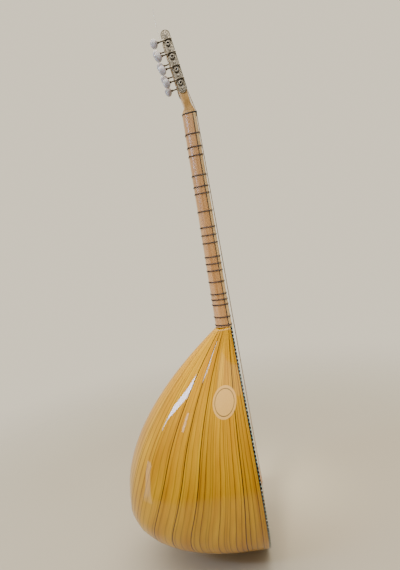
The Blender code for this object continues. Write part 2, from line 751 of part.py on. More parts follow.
def button_stations():
    """An oval button: shares of its length, half width and half thickness."""
    half_w, half_t = BUTTON_WIDTH / 2, BUTTON_THICKNESS / 2
    shape = (
        (0, 0.3, 0.5), (0.1, 0.62, 0.75), (0.35, 0.95, 0.96),
        (0.6, 1.0, 1.0), (0.85, 0.78, 0.8), (1.0, 0.3, 0.35),
    )
    return [(BUTTON_START + BUTTON_LENGTH * a, half_w * w, half_t * t) for a, w, t in shape]


def make_worm_shaft(side, number, frame, steel):
    def turn(along, a, b):
        return (b, along, a)

    half = WORM_LENGTH / 2
    # A thread root, not a crest, lies over the gear tooth that stands in the middle of the mesh.
    phase = (half / WORM_LEAD) % 1
    thread = (-half, half, WORM_LEAD, WORM_ROOT_RADIUS, WORM_RADIUS, phase)
    before = [(-SHAFT_FRONT_END, SHAFT_RADIUS, SHAFT_RADIUS)]
    collar = BUTTON_START - COLLAR_LENGTH
    after = [(collar, SHAFT_RADIUS, SHAFT_RADIUS), (collar, COLLAR_RADIUS, COLLAR_RADIUS)]
    after += button_stations()
    name = f"tuner_shaft_{SIDE_NAMES[side]}_{number + 1}"
    data = turned_with_thread(name, before, thread, after, turn)
    place = (side * GEAR_MIDDLE_X, 0, tuner_s(number) + WORM_OFFSET)
    smooth(new_object(name, data, steel, frame, place))


def string_of(side, number):
    for string in STRINGS:
        if string[3:] == (side, number + 1):
            return string
    return None


def winding_x(number):
    """Distance from the middle at which a roller takes its string: outermost on the first."""
    return SLOT_MIDDLE_X + SLOT_WIDTH * (0.2 - 0.13 * number)


def make_roller(side, number, frame, steel):
    """Worm gear, shaft and roller in one piece, with the string's turns round it."""
    made = bmesh.new()
    twist = WORM_LEAD / (2 * math.pi * WORM_PITCH_RADIUS) / GEAR_PITCH_RADIUS
    outer_x = GEAR_INNER_X + GEAR_THICKNESS
    string = string_of(side, number)
    thickness = string[0] if string else 0
    lead = thickness + STRING_GAP
    winding_end = winding_x(number) + WINDING_TURNS * lead / 2
    winding_start = winding_x(number) - WINDING_TURNS * lead / 2

    def gear_ring(x):
        ring = []
        lean = -side * twist * (x - GEAR_MIDDLE_X)
        for tooth in range(GEAR_TEETH):
            middle = 2 * math.pi * tooth / GEAR_TEETH + lean
            tip = GEAR_TIP_WIDTH / 2 / GEAR_TIP_RADIUS
            gap_middle = middle + math.pi / GEAR_TEETH
            for radius, angle in (
                (GEAR_TIP_RADIUS, middle - tip),
                (GEAR_TIP_RADIUS, middle + tip),
                (GEAR_ROOT_RADIUS, gap_middle),
            ):
                ring.append((side * x, radius * math.sin(angle), radius * math.cos(angle)))
        return ring

    def turn(along, a, b):
        return (side * along, b, a)

    def plain_ring(x, radius):
        return ring_along(x, radius, radius, turn)

    rings = [
        plain_ring(outer_x - GEAR_RECESS_DEPTH, GEAR_RECESS_RADIUS),
        plain_ring(outer_x, GEAR_RECESS_RADIUS),
        gear_ring(outer_x), gear_ring(GEAR_INNER_X), plain_ring(GEAR_INNER_X, ROLLER_RADIUS),
        plain_ring(winding_end if string else ROLLER_END_X, ROLLER_RADIUS),
    ]
    loops = [[made.verts.new(point) for point in ring] for ring in rings]
    made.faces.new(loops[0])
    for low, high in zip(loops, loops[1:]):
        zip_loops(made, low, high)
    last = loops[-1]
    if string:
        crest = ROLLER_RADIUS + thickness
        add_thread_faces(made, thread_rows(
            made, winding_start, winding_end, lead, ROLLER_RADIUS, crest, WINDING_PHASE, turn,
        ))
        low = [made.verts.new(point) for point in plain_ring(winding_start, ROLLER_RADIUS)]
        last = [made.verts.new(point) for point in plain_ring(ROLLER_END_X, ROLLER_RADIUS)]
        zip_loops(made, low, last)
    made.faces.new(last)
    bmesh.ops.remove_doubles(made, verts=made.verts, dist=1e-7)
    bmesh.ops.dissolve_degenerate(made, edges=made.edges, dist=1e-8)
    name = f"tuner_roller_{SIDE_NAMES[side]}_{number + 1}"
    smooth(new_object(name, mesh_of(name, made), steel, frame, (0, 0, tuner_s(number))))


def zip_loops(made, low, high):
    """Faces between two rings round the X axis whose point counts may differ."""
    def angle_of(vertex):
        return math.atan2(vertex.co.y, vertex.co.z) % (2 * math.pi)

    if len(low) == len(high):
        for j in range(len(low)):
            k = (j + 1) % len(low)
            made.faces.new((low[j], low[k], high[k], high[j]))
        return
    low, high = sorted(low, key=angle_of), sorted(high, key=angle_of)

    def next_angle(ring, k):
        whole_turn = 2 * math.pi if k + 1 >= len(ring) else 0
        return angle_of(ring[(k + 1) % len(ring)]) + whole_turn

    i = j = 0
    while i < len(low) or j < len(high):
        a, b = low[i % len(low)], high[j % len(high)]
        if j >= len(high) or (i < len(low) and next_angle(low, i) <= next_angle(high, j)):
            made.faces.new((a, low[(i + 1) % len(low)], b))
            i += 1
        else:
            made.faces.new((a, high[(j + 1) % len(high)], b))
            j += 1


# Strings


def make_wire(name, points, diameter, parent, finish, ball=None):
    data = bpy.data.curves.new(name, "CURVE")
    data.dimensions = "3D"
    data.bevel_depth = diameter / 2
    data.bevel_resolution = 1
    data.use_fill_caps = True
    spline = data.splines.new("POLY")
    spline.points.add(len(points) - 1)
    for point, place in zip(spline.points, points):
        point.co = (*place, 1)
    if ball:
        for point in spline.points[:2]:
            point.radius = ball / diameter
    new_object(name, data, finish, parent)


def make_string(index, parent, plain, wound):
    diameter, course, place, side, roller = STRINGS[index]
    radius = diameter / 2
    bridge_x = string_x(COURSE_SPACING_BRIDGE, PAIR_SPACING_BRIDGE, course, place)
    nut_x = string_x(COURSE_SPACING_NUT, PAIR_SPACING_NUT, course, place)
    holder_x = string_x(HOLDER_WIDTH / 3, PAIR_SPACING_BRIDGE, course, place)
    under = HOLDER_Z - HOLDER_LENGTH
    bridge_y = -BRIDGE_HEIGHT - GAP - STRING_GAP / 2 - radius
    wrap = ROLLER_RADIUS + diameter + 1.5 * STRING_GAP + radius
    end_y, end_z = head_to_neck(-wrap, tuner_s(roller - 1))
    y = HOLDER_STRING_Y
    points = [
        (holder_x, y, under - GAP - BALL_LENGTH), (holder_x, y, under - GAP),
        (holder_x, y, under), (holder_x, y, HOLDER_Z),
        (bridge_x, bridge_y, BRIDGE_Z - BRIDGE_TOP / 2),
        (bridge_x, bridge_y, BRIDGE_Z + BRIDGE_TOP / 2),
        (nut_x, -STRING_OVER_NUT, NUT_START), (nut_x, -STRING_OVER_NUT, NUT_END),
        (side * winding_x(roller - 1), end_y, end_z),
    ]
    finish = wound if diameter == WOUND_STRING else plain
    make_wire(f"string_{index + 1}", points, diameter, parent, finish, BALL_DIAMETER)


def make_loose_end(parent, finish):
    """The cut-off end of a string: off the last roller, out of its slot and past the headstock."""
    last = TUNER_COUNT - 1
    route = (
        (2.7, 1.75), (4.4, 3.2), (6.8, 5.8), (8.9, 8.8), (9.9, 12.3), (10.2, 18),
        (10.0, 28), (9.2, 40), (7.9, 52), (6.0, 65),
    )
    points = []
    for y, past_roller in route:
        x = -winding_x(last) - 0.067 * past_roller * MM
        points.append((x, *head_to_neck(y * MM, tuner_s(last) + past_roller * MM)))
    make_wire("string_tail", points, LOOSE_END_DIAMETER, parent, finish)


def stand_on_origin(saz):
    """Moves the instrument so that the middle of its box's base is the world origin."""
    bpy.context.view_layer.update()
    graph = bpy.context.evaluated_depsgraph_get()
    corners = []
    for obj in bpy.data.objects:
        if obj.type not in ("MESH", "CURVE") or obj.hide_render or obj.name == "string_tail":
            continue
        evaluated = obj.evaluated_get(graph)
        data = evaluated.to_mesh()
        corners += [evaluated.matrix_world @ vertex.co for vertex in data.vertices]
        evaluated.to_mesh_clear()
    low = [min(corner[i] for corner in corners) for i in range(3)]
    high = [max(corner[i] for corner in corners) for i in range(3)]
    saz.location = (-(low[0] + high[0]) / 2, -(low[1] + high[1]) / 2, -low[2])


def main():
    clear_scene()
    saz = bpy.data.objects.new("saz", None)
    head = bpy.data.objects.new("headstock_frame", None)
    for empty in (saz, head):
        bpy.context.scene.collection.objects.link(empty)
    head.parent = saz
    head.location = (0, HEAD_MID_Y, NECK_LENGTH)
    head.rotation_euler = (-HEAD_TILT, 0, 0)

    pale_wood = material("pale neck wood", (0.60, 0.42, 0.22), 0.3)
    board_wood = material("fingerboard wood", (0.72, 0.55, 0.32), 0.35)
    bowl_wood = material("lacquered stave wood", (0.62, 0.40, 0.09), 0.15)
    spruce = material("spruce", (0.78, 0.62, 0.38), 0.35)
    inner_wood = material("inner wood", (0.66, 0.50, 0.32), 0.7)
    ebony = material("black veneer", (0.02, 0.015, 0.012), 0.35)
    shell = material("shell mosaic", (0.25, 0.33, 0.30), 0.25)
    nylon = material("brown nylon", (0.12, 0.06, 0.07), 0.4)
    nickel = material("nickel", (0.62, 0.60, 0.56), 0.25, 1.0)
    pearl = material("pearl plastic", (0.75, 0.75, 0.75), 0.2)
    steel = material("plain steel string", (0.70, 0.69, 0.66), 0.25, 1.0)
    bronze = material("wound string", (0.60, 0.42, 0.25), 0.35, 1.0)

    make_neck(saz, pale_wood, ebony, board_wood)
    make_nut(saz, ebony)
    for number in range(1, len(FRET_RATIOS) + 1):
        make_fret(number, saz, nylon)
    make_bowl(saz, bowl_wood)
    make_soundboard(saz, spruce)
    make_binding(saz, shell)
    make_blocks(saz, inner_wood)
    make_brace(saz, inner_wood)
    make_bridge(saz, pale_wood)
    make_string_holder(saz, ebony)
    make_headstock(head, pale_wood)
    for side in (NEAR, FAR):
        make_plate(side, head, nickel)
        for number in range(TUNER_COUNT):
            make_worm_shaft(side, number, head, pearl)
            make_roller(side, number, head, nickel)
    for index in range(len(STRINGS)):
        make_string(index, saz, steel, bronze)
    make_loose_end(saz, steel)
    stand_on_origin(saz)


main()
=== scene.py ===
import math
from functools import partial

import bpy
from mathutils import Euler, Matrix, Vector


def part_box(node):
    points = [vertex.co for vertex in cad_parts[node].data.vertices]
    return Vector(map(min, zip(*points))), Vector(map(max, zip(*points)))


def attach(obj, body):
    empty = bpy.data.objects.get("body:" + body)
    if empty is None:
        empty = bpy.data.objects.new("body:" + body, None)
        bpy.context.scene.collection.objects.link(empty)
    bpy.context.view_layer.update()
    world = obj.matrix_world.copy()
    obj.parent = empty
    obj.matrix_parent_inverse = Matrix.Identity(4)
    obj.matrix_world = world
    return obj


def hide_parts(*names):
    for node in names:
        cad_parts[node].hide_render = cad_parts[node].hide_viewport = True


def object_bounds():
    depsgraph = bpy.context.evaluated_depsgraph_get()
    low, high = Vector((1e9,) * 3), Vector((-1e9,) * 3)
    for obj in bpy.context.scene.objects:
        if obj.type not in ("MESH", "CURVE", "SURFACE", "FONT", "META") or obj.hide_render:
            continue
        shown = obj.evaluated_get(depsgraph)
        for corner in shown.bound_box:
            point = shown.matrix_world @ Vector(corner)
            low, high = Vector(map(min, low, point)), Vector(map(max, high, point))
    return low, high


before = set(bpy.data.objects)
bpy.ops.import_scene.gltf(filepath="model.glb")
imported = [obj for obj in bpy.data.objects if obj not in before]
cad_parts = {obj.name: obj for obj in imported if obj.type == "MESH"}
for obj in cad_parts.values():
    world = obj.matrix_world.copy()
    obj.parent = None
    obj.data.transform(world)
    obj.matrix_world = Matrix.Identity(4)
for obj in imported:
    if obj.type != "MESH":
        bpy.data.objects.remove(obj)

cad_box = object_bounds()
MM = 0.001
SEAM = 0.3  # millimetres that the solids leave for glue between two pieces

# The instrument's own frame, as the solids have it: z = 0 is where the neck meets the bowl,
# y = 0 is the soundboard's face, +Y points to the back and X is the width.
FACE_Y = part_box("fingerboard")[0].y
JOINT_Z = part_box("fingerboard")[0].z - SEAM * MM


def at(x, y, z):
    """A point of the instrument's frame, in millimetres, as a place in the scene."""
    return Vector((x * MM, y * MM + FACE_Y, z * MM + JOINT_Z))


# Sizes of the real pieces, in millimetres
NECK_LENGTH = 380.97
NECK_WIDTH_NUT, NECK_WIDTH_BODY = 28, 38
NECK_DEPTH_NUT, NECK_DEPTH_BODY = 24, 29
NECK_FRONT = 6.4  # behind the fingerboard and the veneer
FINGERBOARD, BOARD_CORNER = 4.8, 1.0  # its thickness, and how round its front edges are
SCALE_LENGTH = 678
FRET_RATIOS = (
    20 / 19, 12 / 11, 19 / 17, 32 / 27, 27 / 22, 64 / 51, 4 / 3, 24 / 17, 16 / 11, 3 / 2,
    27 / 17, 18 / 11, 27 / 16, 16 / 9, 17 / 9, 35 / 18, 2, 15 / 7, 9 / 4,
)
BODY_LENGTH, BODY_WIDTH, BODY_DEPTH = 420, 250, 246
WIDEST_AT, DEEPEST_AT = 0.70, 0.724  # shares of the body's length
SHOULDER_RISE_WIDTH, SHOULDER_RISE_DEPTH = 100, 584
BOARD, BINDING, WALL = 3.2, 2.2, 3.0
HEAD_TILT = math.radians(8.3)
HEAD_MID_Y = 9.7  # where its middle plane crosses the nut
HEAD_LENGTH, HEAD_WIDTH, HEAD_THICKNESS = 142, 35, 13.2
ROUND_END = 6.5  # the top of the headstock is round like the plates' ends
SLOT_X, SLOT_WIDE, SLOT_LOW, SLOT_HIGH = 8, 9, 26, 132
TUNERS = (51, 73.4, 95.8, 118.2)
ROLLER_RADIUS, BORE_RADIUS = 2.5, 2.9
GEAR_TEETH, GEAR_RADIUS = 14, 3.9  # the radius at which the worm drives it
WORM_OFFSET, GEAR_X = 5.7, 21.1
PLATE_INNER, PLATE_THICK, PLATE_HALF = 17.8, 1.0, 7.8
PLATE_LOW, PLATE_HIGH = 34.4, 141.2
POST_Y, POST_THICK, POST_HIGH, POST_LONG = 6.9, 1.2, 4.8, 4.6
SCREWS = (42.2, 64.1, 86.5, 108.9, 133.4)
# From one course to the next, and from one string to the next in a course
HOLDER_X, BRIDGE_X, NUT_X = 34 / 3, 17, 9
STRING_STEP, NUT_STRING_STEP = 2.4, 1.6
NEAR, FAR = -1, 1
SIDE_NAMES = {NEAR: "near", FAR: "far"}
# Diameter, course, place in it, and the roller that takes the string
STRINGS = (
    (0.25, -1, -1, NEAR, 1), (0.25, -1, 0, NEAR, 2), (0.55, -1, 1, NEAR, 3),
    (0.25, 0, -0.5, NEAR, 4), (0.55, 0, 0.5, FAR, 4),
    (0.25, 1, -0.5, FAR, 2), (0.55, 1, 0.5, FAR, 1),
)


def blend(a, b, share):
    return a + (b - a) * share


def head(x, y, s):
    """A point of the tilted headstock's frame: s runs up its middle plane from the nut."""
    cos, sin = math.cos(HEAD_TILT), math.sin(HEAD_TILT)
    return at(x, HEAD_MID_Y + y * cos + s * sin, NECK_LENGTH - y * sin + s * cos)


HEAD_FRAME = Matrix.Translation(head(0, 0, 0)) @ Matrix.Rotation(-HEAD_TILT, 4, "X")


def through(rows, place):
    """The value at a place between the rows, on a smooth curve through all of them."""
    i = min(int(place), len(rows) - 2)
    t = place - i
    a, b, c, d = (rows[min(max(k, 0), len(rows) - 1)] for k in (i - 1, i, i + 1, i + 2))
    return 0.5 * (2 * b + (c - a) * t + (2 * a - 5 * b + 4 * c - d) * t * t
                  + (3 * b - a - 3 * c + d) * t**3)


# Building by hand

# Turns that lay a primitive's Z along X or Y, and the settings of a primitive one unit big
ON_X, ON_Y = (0, math.pi / 2, 0), (-math.pi / 2, 0, 0)
UNIT = {"cube": {"size": 1}, "cylinder": {"radius": 1, "depth": 1}, "uv_sphere": {"radius": 1}}


def only(obj):
    bpy.ops.object.select_all(action="DESELECT")
    obj.select_set(True)
    bpy.context.view_layer.objects.active = obj


def mode(name):
    bpy.ops.object.mode_set(mode=name)


def smooth(obj, degrees):
    only(obj)
    bpy.ops.object.shade_smooth_by_angle(angle=math.radians(degrees))


def linked(name, data):
    obj = bpy.data.objects.new(name, data)
    bpy.context.scene.collection.objects.link(obj)
    return obj


def apply_modifier(obj, kind, **settings):
    only(obj)
    modifier = obj.modifiers.new(kind.lower(), kind)
    for key, value in settings.items():
        setattr(modifier, key, value)
    bpy.ops.object.modifier_apply(modifier=modifier.name)


def bevel_edges(obj, test, width, segments):
    """Round the edges whose two ends pass a test, in millimetres."""
    only(obj)
    mode("EDIT")
    bpy.ops.mesh.select_mode(type="EDGE")
    bpy.ops.mesh.select_all(action="DESELECT")
    mode("OBJECT")
    for edge in obj.data.edges:
        edge.select = bool(test(*[obj.data.vertices[i].co / MM for i in edge.vertices]))
    mode("EDIT")
    bpy.ops.mesh.bevel(offset=width * MM, segments=segments)
    bpy.ops.mesh.select_mode(type="FACE")
    mode("OBJECT")


def select_where(obj, test):
    """In edit mode, select the faces whose (middle, normal) pass a test, in millimetres."""
    bpy.ops.mesh.select_all(action="DESELECT")
    mode("OBJECT")
    for face in obj.data.polygons:
        face.select = bool(test(face.center / MM, face.normal))
    mode("EDIT")


def solid(kind, name, place, reach, turn=(0, 0, 0), **settings):
    """A primitive at its size and place, in millimetres, with its size in its mesh."""
    bpy.ops.object.select_all(action="DESELECT")
    getattr(bpy.ops.mesh, f"primitive_{kind}_add")(**UNIT.get(kind, {}), **settings)
    obj = bpy.context.active_object
    obj.name = obj.data.name = name
    move = Matrix.Translation(Vector(place) * MM) @ Euler(turn).to_matrix().to_4x4()
    obj.data.transform(move @ Matrix.Diagonal((*[r * MM for r in reach], 1)))
    return obj


def joined(name, pieces):
    bpy.ops.object.select_all(action="DESELECT")
    for piece in pieces:
        piece.select_set(True)
    bpy.context.view_layer.objects.active = pieces[0]
    bpy.ops.object.join()
    pieces[0].name = pieces[0].data.name = name
    return pieces[0]


def cut(obj, cutter):
    apply_modifier(obj, "BOOLEAN", object=cutter, operation="DIFFERENCE", solver="EXACT")
    bpy.data.objects.remove(cutter)


def eased(obj, width, angle=35, smooth_to=40):
    apply_modifier(obj, "BEVEL", width=width * MM, segments=2, limit_method="ANGLE",
                   angle_limit=math.radians(angle))
    smooth(obj, smooth_to)


def loft(name, across, along, place, close=True, degrees=35):
    """A grid whose points are moved one by one to place(u, v), in metres.

    `across` and `along` are the values of u and v at its lines, and its UV map keeps them.
    A closed one is sewn where u begins and ends, and its ends are filled."""
    bpy.ops.object.select_all(action="DESELECT")
    bpy.ops.mesh.primitive_grid_add(
        x_subdivisions=len(across) - 1, y_subdivisions=len(along) - 1, size=1,
    )
    obj = bpy.context.active_object
    obj.name = obj.data.name = name
    mesh = obj.data
    line = {}
    for vertex in mesh.vertices:
        i = round((vertex.co.x + 0.5) * (len(across) - 1))
        j = round((vertex.co.y + 0.5) * (len(along) - 1))
        line[vertex.index] = (across[i], along[j])
        vertex.co = place(across[i], along[j])
    uv = mesh.uv_layers.active.data
    for loop in mesh.loops:
        uv[loop.index].uv = line[loop.vertex_index]
    mode("EDIT")
    bpy.ops.mesh.select_all(action="SELECT")
    if close:
        bpy.ops.mesh.remove_doubles(threshold=1e-6)
        bpy.ops.mesh.fill_holes(sides=0)
    bpy.ops.mesh.select_all(action="SELECT")
    bpy.ops.mesh.normals_make_consistent(inside=False)
    mode("OBJECT")
    smooth(obj, degrees)
    return obj


def steps(start, end, count):
    return [blend(start, end, i / count) for i in range(count + 1)]


def wire(name, lines, radius, cyclic=False, sides=3, convert=True, shares=None):
    """Round strands along lines of points, as a mesh or left a curve.

    `shares` are the shares of the radius at the points of each line."""
    data = bpy.data.curves.new(name, "CURVE")
    data.dimensions = "3D"
    data.bevel_depth = radius
    data.bevel_resolution = sides - 2
    data.use_fill_caps = True
    for line in lines:
        spline = data.splines.new("POLY")
        spline.points.add(len(line) - 1)
        spline.use_cyclic_u = cyclic
        for i, (point, place) in enumerate(zip(spline.points, line)):
            point.co = (*place, 1)
            point.radius = shares[i] if shares else 1
    obj = linked(name, data)
    if convert:
        only(obj)
        bpy.ops.object.convert(target="MESH")
        smooth(obj, 50)
    return obj


def finish_piece(obj, body, material, slot, *replaced):
    """Give a piece its finish, the body it moves with and the CAD nodes it stands for."""
    obj.data.materials.clear()
    obj.data.materials.append(material)
    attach(obj, body)
    if replaced:
        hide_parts(*replaced)


def copied(obj, name, move):
    """A copy with its own mesh, moved point by point."""
    made = obj.copy()
    made.data = obj.data.copy()
    made.name = made.data.name = name
    bpy.context.scene.collection.objects.link(made)
    made.data.transform(move)
    if move.to_3x3().determinant() < 0:
        made.data.flip_normals()
    return made


# Materials


def linear(colour):
    """A sRGB hex colour as the linear values that Blender mixes."""
    channels = [int(colour[i:i + 2], 16) / 255 for i in (1, 3, 5)]
    return (*[c / 12.92 if c < 0.04045 else ((c + 0.055) / 1.055) ** 2.4 for c in channels], 1)


def new_material(name):
    """An empty material, with the function that adds a node to it."""
    made = bpy.data.materials.new(name)
    made.use_nodes = True
    made.node_tree.nodes.clear()
    return made, partial(add, made.node_tree)


def add(tree, kind, inputs=(), ramp=(), **settings):
    """One node, with its settings, its inputs and its colour stops.

    An input is a value, a socket to link, or a node that stands for its first output."""
    made = tree.nodes.new("ShaderNode" + kind)
    for key, value in settings.items():
        setattr(made, key, value)
    for key, value in dict(inputs).items():
        if isinstance(value, bpy.types.Node):
            value = value.outputs[0]
        if isinstance(value, bpy.types.NodeSocket):
            tree.links.new(value, made.inputs[key])
        else:
            made.inputs[key].default_value = value
    if ramp:
        stops = made.color_ramp.elements
        while len(stops) < len(ramp):
            stops.new(0.5)
        for stop, (position, colour) in zip(stops, ramp):
            stop.position = position
            stop.color = linear(colour) if isinstance(colour, str) else (colour,) * 3 + (1,)
    return made


def surface(made, inputs):
    """The one shader of a finish, joined to its output."""
    shader = add(made.node_tree, "BsdfPrincipled", inputs)
    add(made.node_tree, "OutputMaterial", {"Surface": shader})
    return made


def stave_wood():
    """Yellow mulberry staves under thick gloss polyester lacquer.

    Thin brown growth lines run the whole length of each stave, sharp on one side and soft on
    the other, and no two staves match. The lacquer is clear and level, so the eye sees sharp
    reflections lie over them."""
    made, node = new_material("lacquered mulberry staves")
    uv = node("UVMap", uv_map="UVMap")
    split = node("SeparateXYZ", {"Vector": uv})
    across, along = split.outputs["X"], split.outputs["Y"]
    stave = node("Math", {0: across}, operation="FLOOR")
    luck = node("TexWhiteNoise", {"W": stave}, noise_dimensions="1D")
    phase = node("Math", {0: luck, 1: 9.0}, operation="MULTIPLY")
    # The lines wander about 2 mm over a hand's length.
    drift_place = node("CombineXYZ", {
        "X": node("Math", {0: across, 1: 1.4}, operation="MULTIPLY"),
        "Y": node("Math", {0: along, 1: 7.0}, operation="MULTIPLY"),
        "Z": phase,
    })
    drift = node("TexNoise", {
        "Vector": drift_place, "Scale": 1.0, "Detail": 3.0, "Roughness": 0.5,
    })
    wander = node("Math", {0: drift, 1: 0.75, 2: phase}, operation="MULTIPLY_ADD")
    # Three growth lines to a stave about 33 mm wide
    lines = node("Math", {0: across, 1: 3.0, 2: wander}, operation="MULTIPLY_ADD")
    ring = node("Math", {0: lines}, operation="FRACT")
    count = node("Math", {0: lines}, operation="FLOOR")
    force = node("TexWhiteNoise", {"W": count}, noise_dimensions="1D")
    strong = node("MapRange", {"Value": force, "To Min": 0.25, "To Max": 1.0})
    shape = node("ValToRGB", {"Fac": ring}, ramp=(
        (0.0, 0.4), (0.05, 0.02), (0.55, 0.0), (0.80, 0.22), (0.95, 1.0),
    ))
    dark = node("Math", {0: shape, 1: strong}, operation="MULTIPLY")
    # Pores and fine figure, about 0.6 mm wide
    fine_place = node("CombineXYZ", {
        "X": node("Math", {0: across, 1: 50.0}, operation="MULTIPLY"),
        "Y": node("Math", {0: along, 1: 30.0}, operation="MULTIPLY"),
        "Z": phase,
    })
    fine = node("TexNoise", {"Vector": fine_place, "Scale": 1.0, "Detail": 4.0, "Roughness": 0.6})
    ground = node("ValToRGB", {"Fac": drift}, ramp=((0.3, STAVE_DEEP), (0.7, STAVE_LIGHT)))
    grained = node("Mix", {0: dark, 6: ground, 7: linear(STAVE_LINE)}, data_type="RGBA").outputs[2]
    shade = node("MapRange", {
        "Value": fine, "From Min": 0.3, "From Max": 0.7, "To Min": 0.84, "To Max": 1.1,
    })
    toned = node("Math", {
        0: node("MapRange", {"Value": luck, "To Min": 0.9, "To Max": 1.06}), 1: shade,
    }, operation="MULTIPLY")
    figured = node("VectorMath", {0: grained, "Scale": toned}, operation="SCALE")
    joint = node("MapRange", {
        "Value": node("Attribute", attribute_name="joint_dark").outputs["Fac"],
        "From Max": 0.55,
    })
    jointed = node("Mix", {
        0: joint, 6: figured, 7: linear("#3a1d06"),
    }, data_type="RGBA").outputs[2]
    bump = node("Bump", {"Height": fine, "Strength": 0.04, "Distance": 0.0003})
    return surface(made, {
        "Base Color": jointed, "Roughness": 0.45, "IOR": 1.5, "Specular IOR Level": 0.1,
        "Coat Weight": 1.0, "Coat Roughness": 0.03, "Coat IOR": 1.52, "Normal": bump,
    })


def plain_wood(name, pale, dark, streak_mm, gloss, coat=0.6, lengthwise=(1.0, 1.0, 0.03)):
    """A quartered wood whose grain runs along Z, with streaks of a real width."""
    made, node = new_material(name)
    place = node("TexCoord").outputs["Object"]
    scaled = node("Mapping", {
        "Vector": place, "Scale": tuple(s * 1000 / streak_mm for s in lengthwise),
    })
    streaks = node("TexNoise", {
        "Vector": scaled, "Scale": 1.0, "Detail": 6.0, "Roughness": 0.6, "Distortion": 0.15,
    })
    colour = node("ValToRGB", {"Fac": streaks}, ramp=((0.32, dark), (0.62, pale)))
    bump = node("Bump", {"Height": streaks, "Strength": 0.04, "Distance": 0.0003})
    return surface(made, {
        "Base Color": colour, "Roughness": gloss, "IOR": 1.5, "Coat Weight": coat,
        "Coat Roughness": 0.3, "Normal": bump,
    })


def spruce_board():
    """Quartered spruce: straight yearly rings 1.5 mm apart, under satin lacquer."""
    made, node = new_material("quartered spruce")
    place = node("TexCoord").outputs["Object"]
    rings = node("TexWave", {
        "Vector": place, "Scale": 0.2 * math.pi / 2 / 0.0015, "Distortion": 1.2, "Detail": 2.0,
        "Detail Scale": 0.12, "Detail Roughness": 0.5,
    }, wave_profile="SAW").outputs["Fac"]
    scaled = node("Mapping", {"Vector": place, "Scale": (45, 45, 5)})
    drift = node("TexNoise", {"Vector": scaled, "Scale": 1.0, "Detail": 4.0})
    early = node("ValToRGB", {"Fac": drift}, ramp=((0.3, "#c9a468"), (0.7, "#e2c48c")))
    line = node("MapRange", {
        "Value": rings, "From Min": 0.55, "From Max": 1.0, "To Min": 0.0, "To Max": 0.4,
    })
    colour = node("Mix", {0: line, 6: early, 7: linear("#a97a3f")}, data_type="RGBA").outputs[2]
    bump = node("Bump", {"Height": rings, "Strength": 0.1, "Distance": 0.0003})
    return surface(made, {
        "Base Color": colour, "Roughness": 0.38, "IOR": 1.5, "Coat Weight": 0.5,
        "Coat Roughness": 0.15, "Normal": bump,
    })


def shell_mosaic():
    """Black plastic with mother-of-pearl chips, 2 to 3 mm long, pressed in along the edge."""
    made, node = new_material("mother-of-pearl mosaic")
    uv = node("UVMap", uv_map="UVMap")
    split = node("SeparateXYZ", {"Vector": uv})
    side, along = split.outputs["X"], split.outputs["Y"]
    # One chip each 6.4 mm, from a third to a half of it long
    pairs = node("Math", {0: along, 1: 1 / 0.0064}, operation="MULTIPLY")
    turn = node("Math", {0: pairs}, operation="FRACT")
    count = node("Math", {0: pairs}, operation="FLOOR")
    luck = node("TexWhiteNoise", {"W": count}, noise_dimensions="1D")
    shell = node("ValToRGB", {"Fac": luck}, ramp=(
        (0.0, "#2b5450"), (0.3, "#557f79"), (0.55, "#97aca2"), (0.8, "#3a625e"), (1.0, "#dfe4da"),
    ))
    cloud = node("TexNoise", {
        "Vector": node("TexCoord").outputs["Object"], "Scale": 600.0, "Detail": 2.0,
    })
    flash = node("MapRange", {
        "Value": cloud, "From Min": 0.5, "From Max": 0.75, "To Min": 0.0, "To Max": 0.8,
    })
    lively = node("Mix", {0: flash, 6: shell, 7: linear("#dbe8e0")}, data_type="RGBA").outputs[2]
    length = node("MapRange", {"Value": luck, "To Min": 0.52, "To Max": 0.68})
    gap = node("Math", {0: turn, 1: length}, operation="LESS_THAN")
    # The lower third of the side wall is plain black.
    wall = node("Math", {0: side, 1: 0.82, 2: 0.17}, operation="COMPARE")
    black = node("Math", {0: gap, 1: wall}, operation="MAXIMUM")
    colour = node("Mix", {0: black, 6: lively, 7: linear("#0b0c0d")}, data_type="RGBA").outputs[2]
    return surface(made, {
        "Base Color": colour, "Roughness": 0.25, "IOR": 1.53, "Coat Weight": 1.0,
        "Coat Roughness": 0.05,
    })


def metal(name, colour, roughness, bump_mm=0.0, groove_shade=None):
    """A metal with faint uneven polish; `bump_mm` is the width of its engraved figures."""
    made, node = new_material(name)
    place = node("TexCoord").outputs["Object"]
    polish = node("TexNoise", {"Vector": place, "Scale": 400.0, "Detail": 3.0})
    rough = node("MapRange", {
        "Value": polish, "To Min": roughness * 0.7, "To Max": roughness * 1.3,
    })
    inputs = {"Base Color": linear(colour), "Metallic": 1.0, "Roughness": rough}
    if bump_mm:
        # Scrolls cut into the plate: rings round scattered centres, with painted shade darkening
        # their grooves
        cells = node("TexVoronoi", {"Vector": place, "Scale": 1000 / bump_mm, "Randomness": 0.7})
        rings = node("Math", {0: cells, 1: 13.0}, operation="MULTIPLY")
        wave = node("Math", {0: rings}, operation="SINE")
        groove = node("MapRange", {"Value": wave, "From Min": 0.1, "From Max": 0.75})
        inputs["Base Color"] = node("Mix", {
            0: groove, 6: linear(groove_shade), 7: linear(colour),
        }, data_type="RGBA").outputs[2]
        inputs["Normal"] = node("Bump", {"Height": groove, "Strength": 0.3, "Distance": 0.0002})
    return surface(made, inputs)


def nylon():
    """Brown monofilament, a clear drawn plastic with a soft shine."""
    made, node = new_material("brown nylon line")
    place = node("TexCoord").outputs["Object"]
    drift = node("TexNoise", {"Vector": place, "Scale": 120.0, "Detail": 2.0})
    colour = node("ValToRGB", {"Fac": drift}, ramp=((0.35, "#1f0e11"), (0.65, "#381c20")))
    return surface(made, {
        "Base Color": colour, "Roughness": 0.32, "IOR": 1.53, "Subsurface Weight": 0.05,
        "Subsurface Scale": 0.0005,
    })


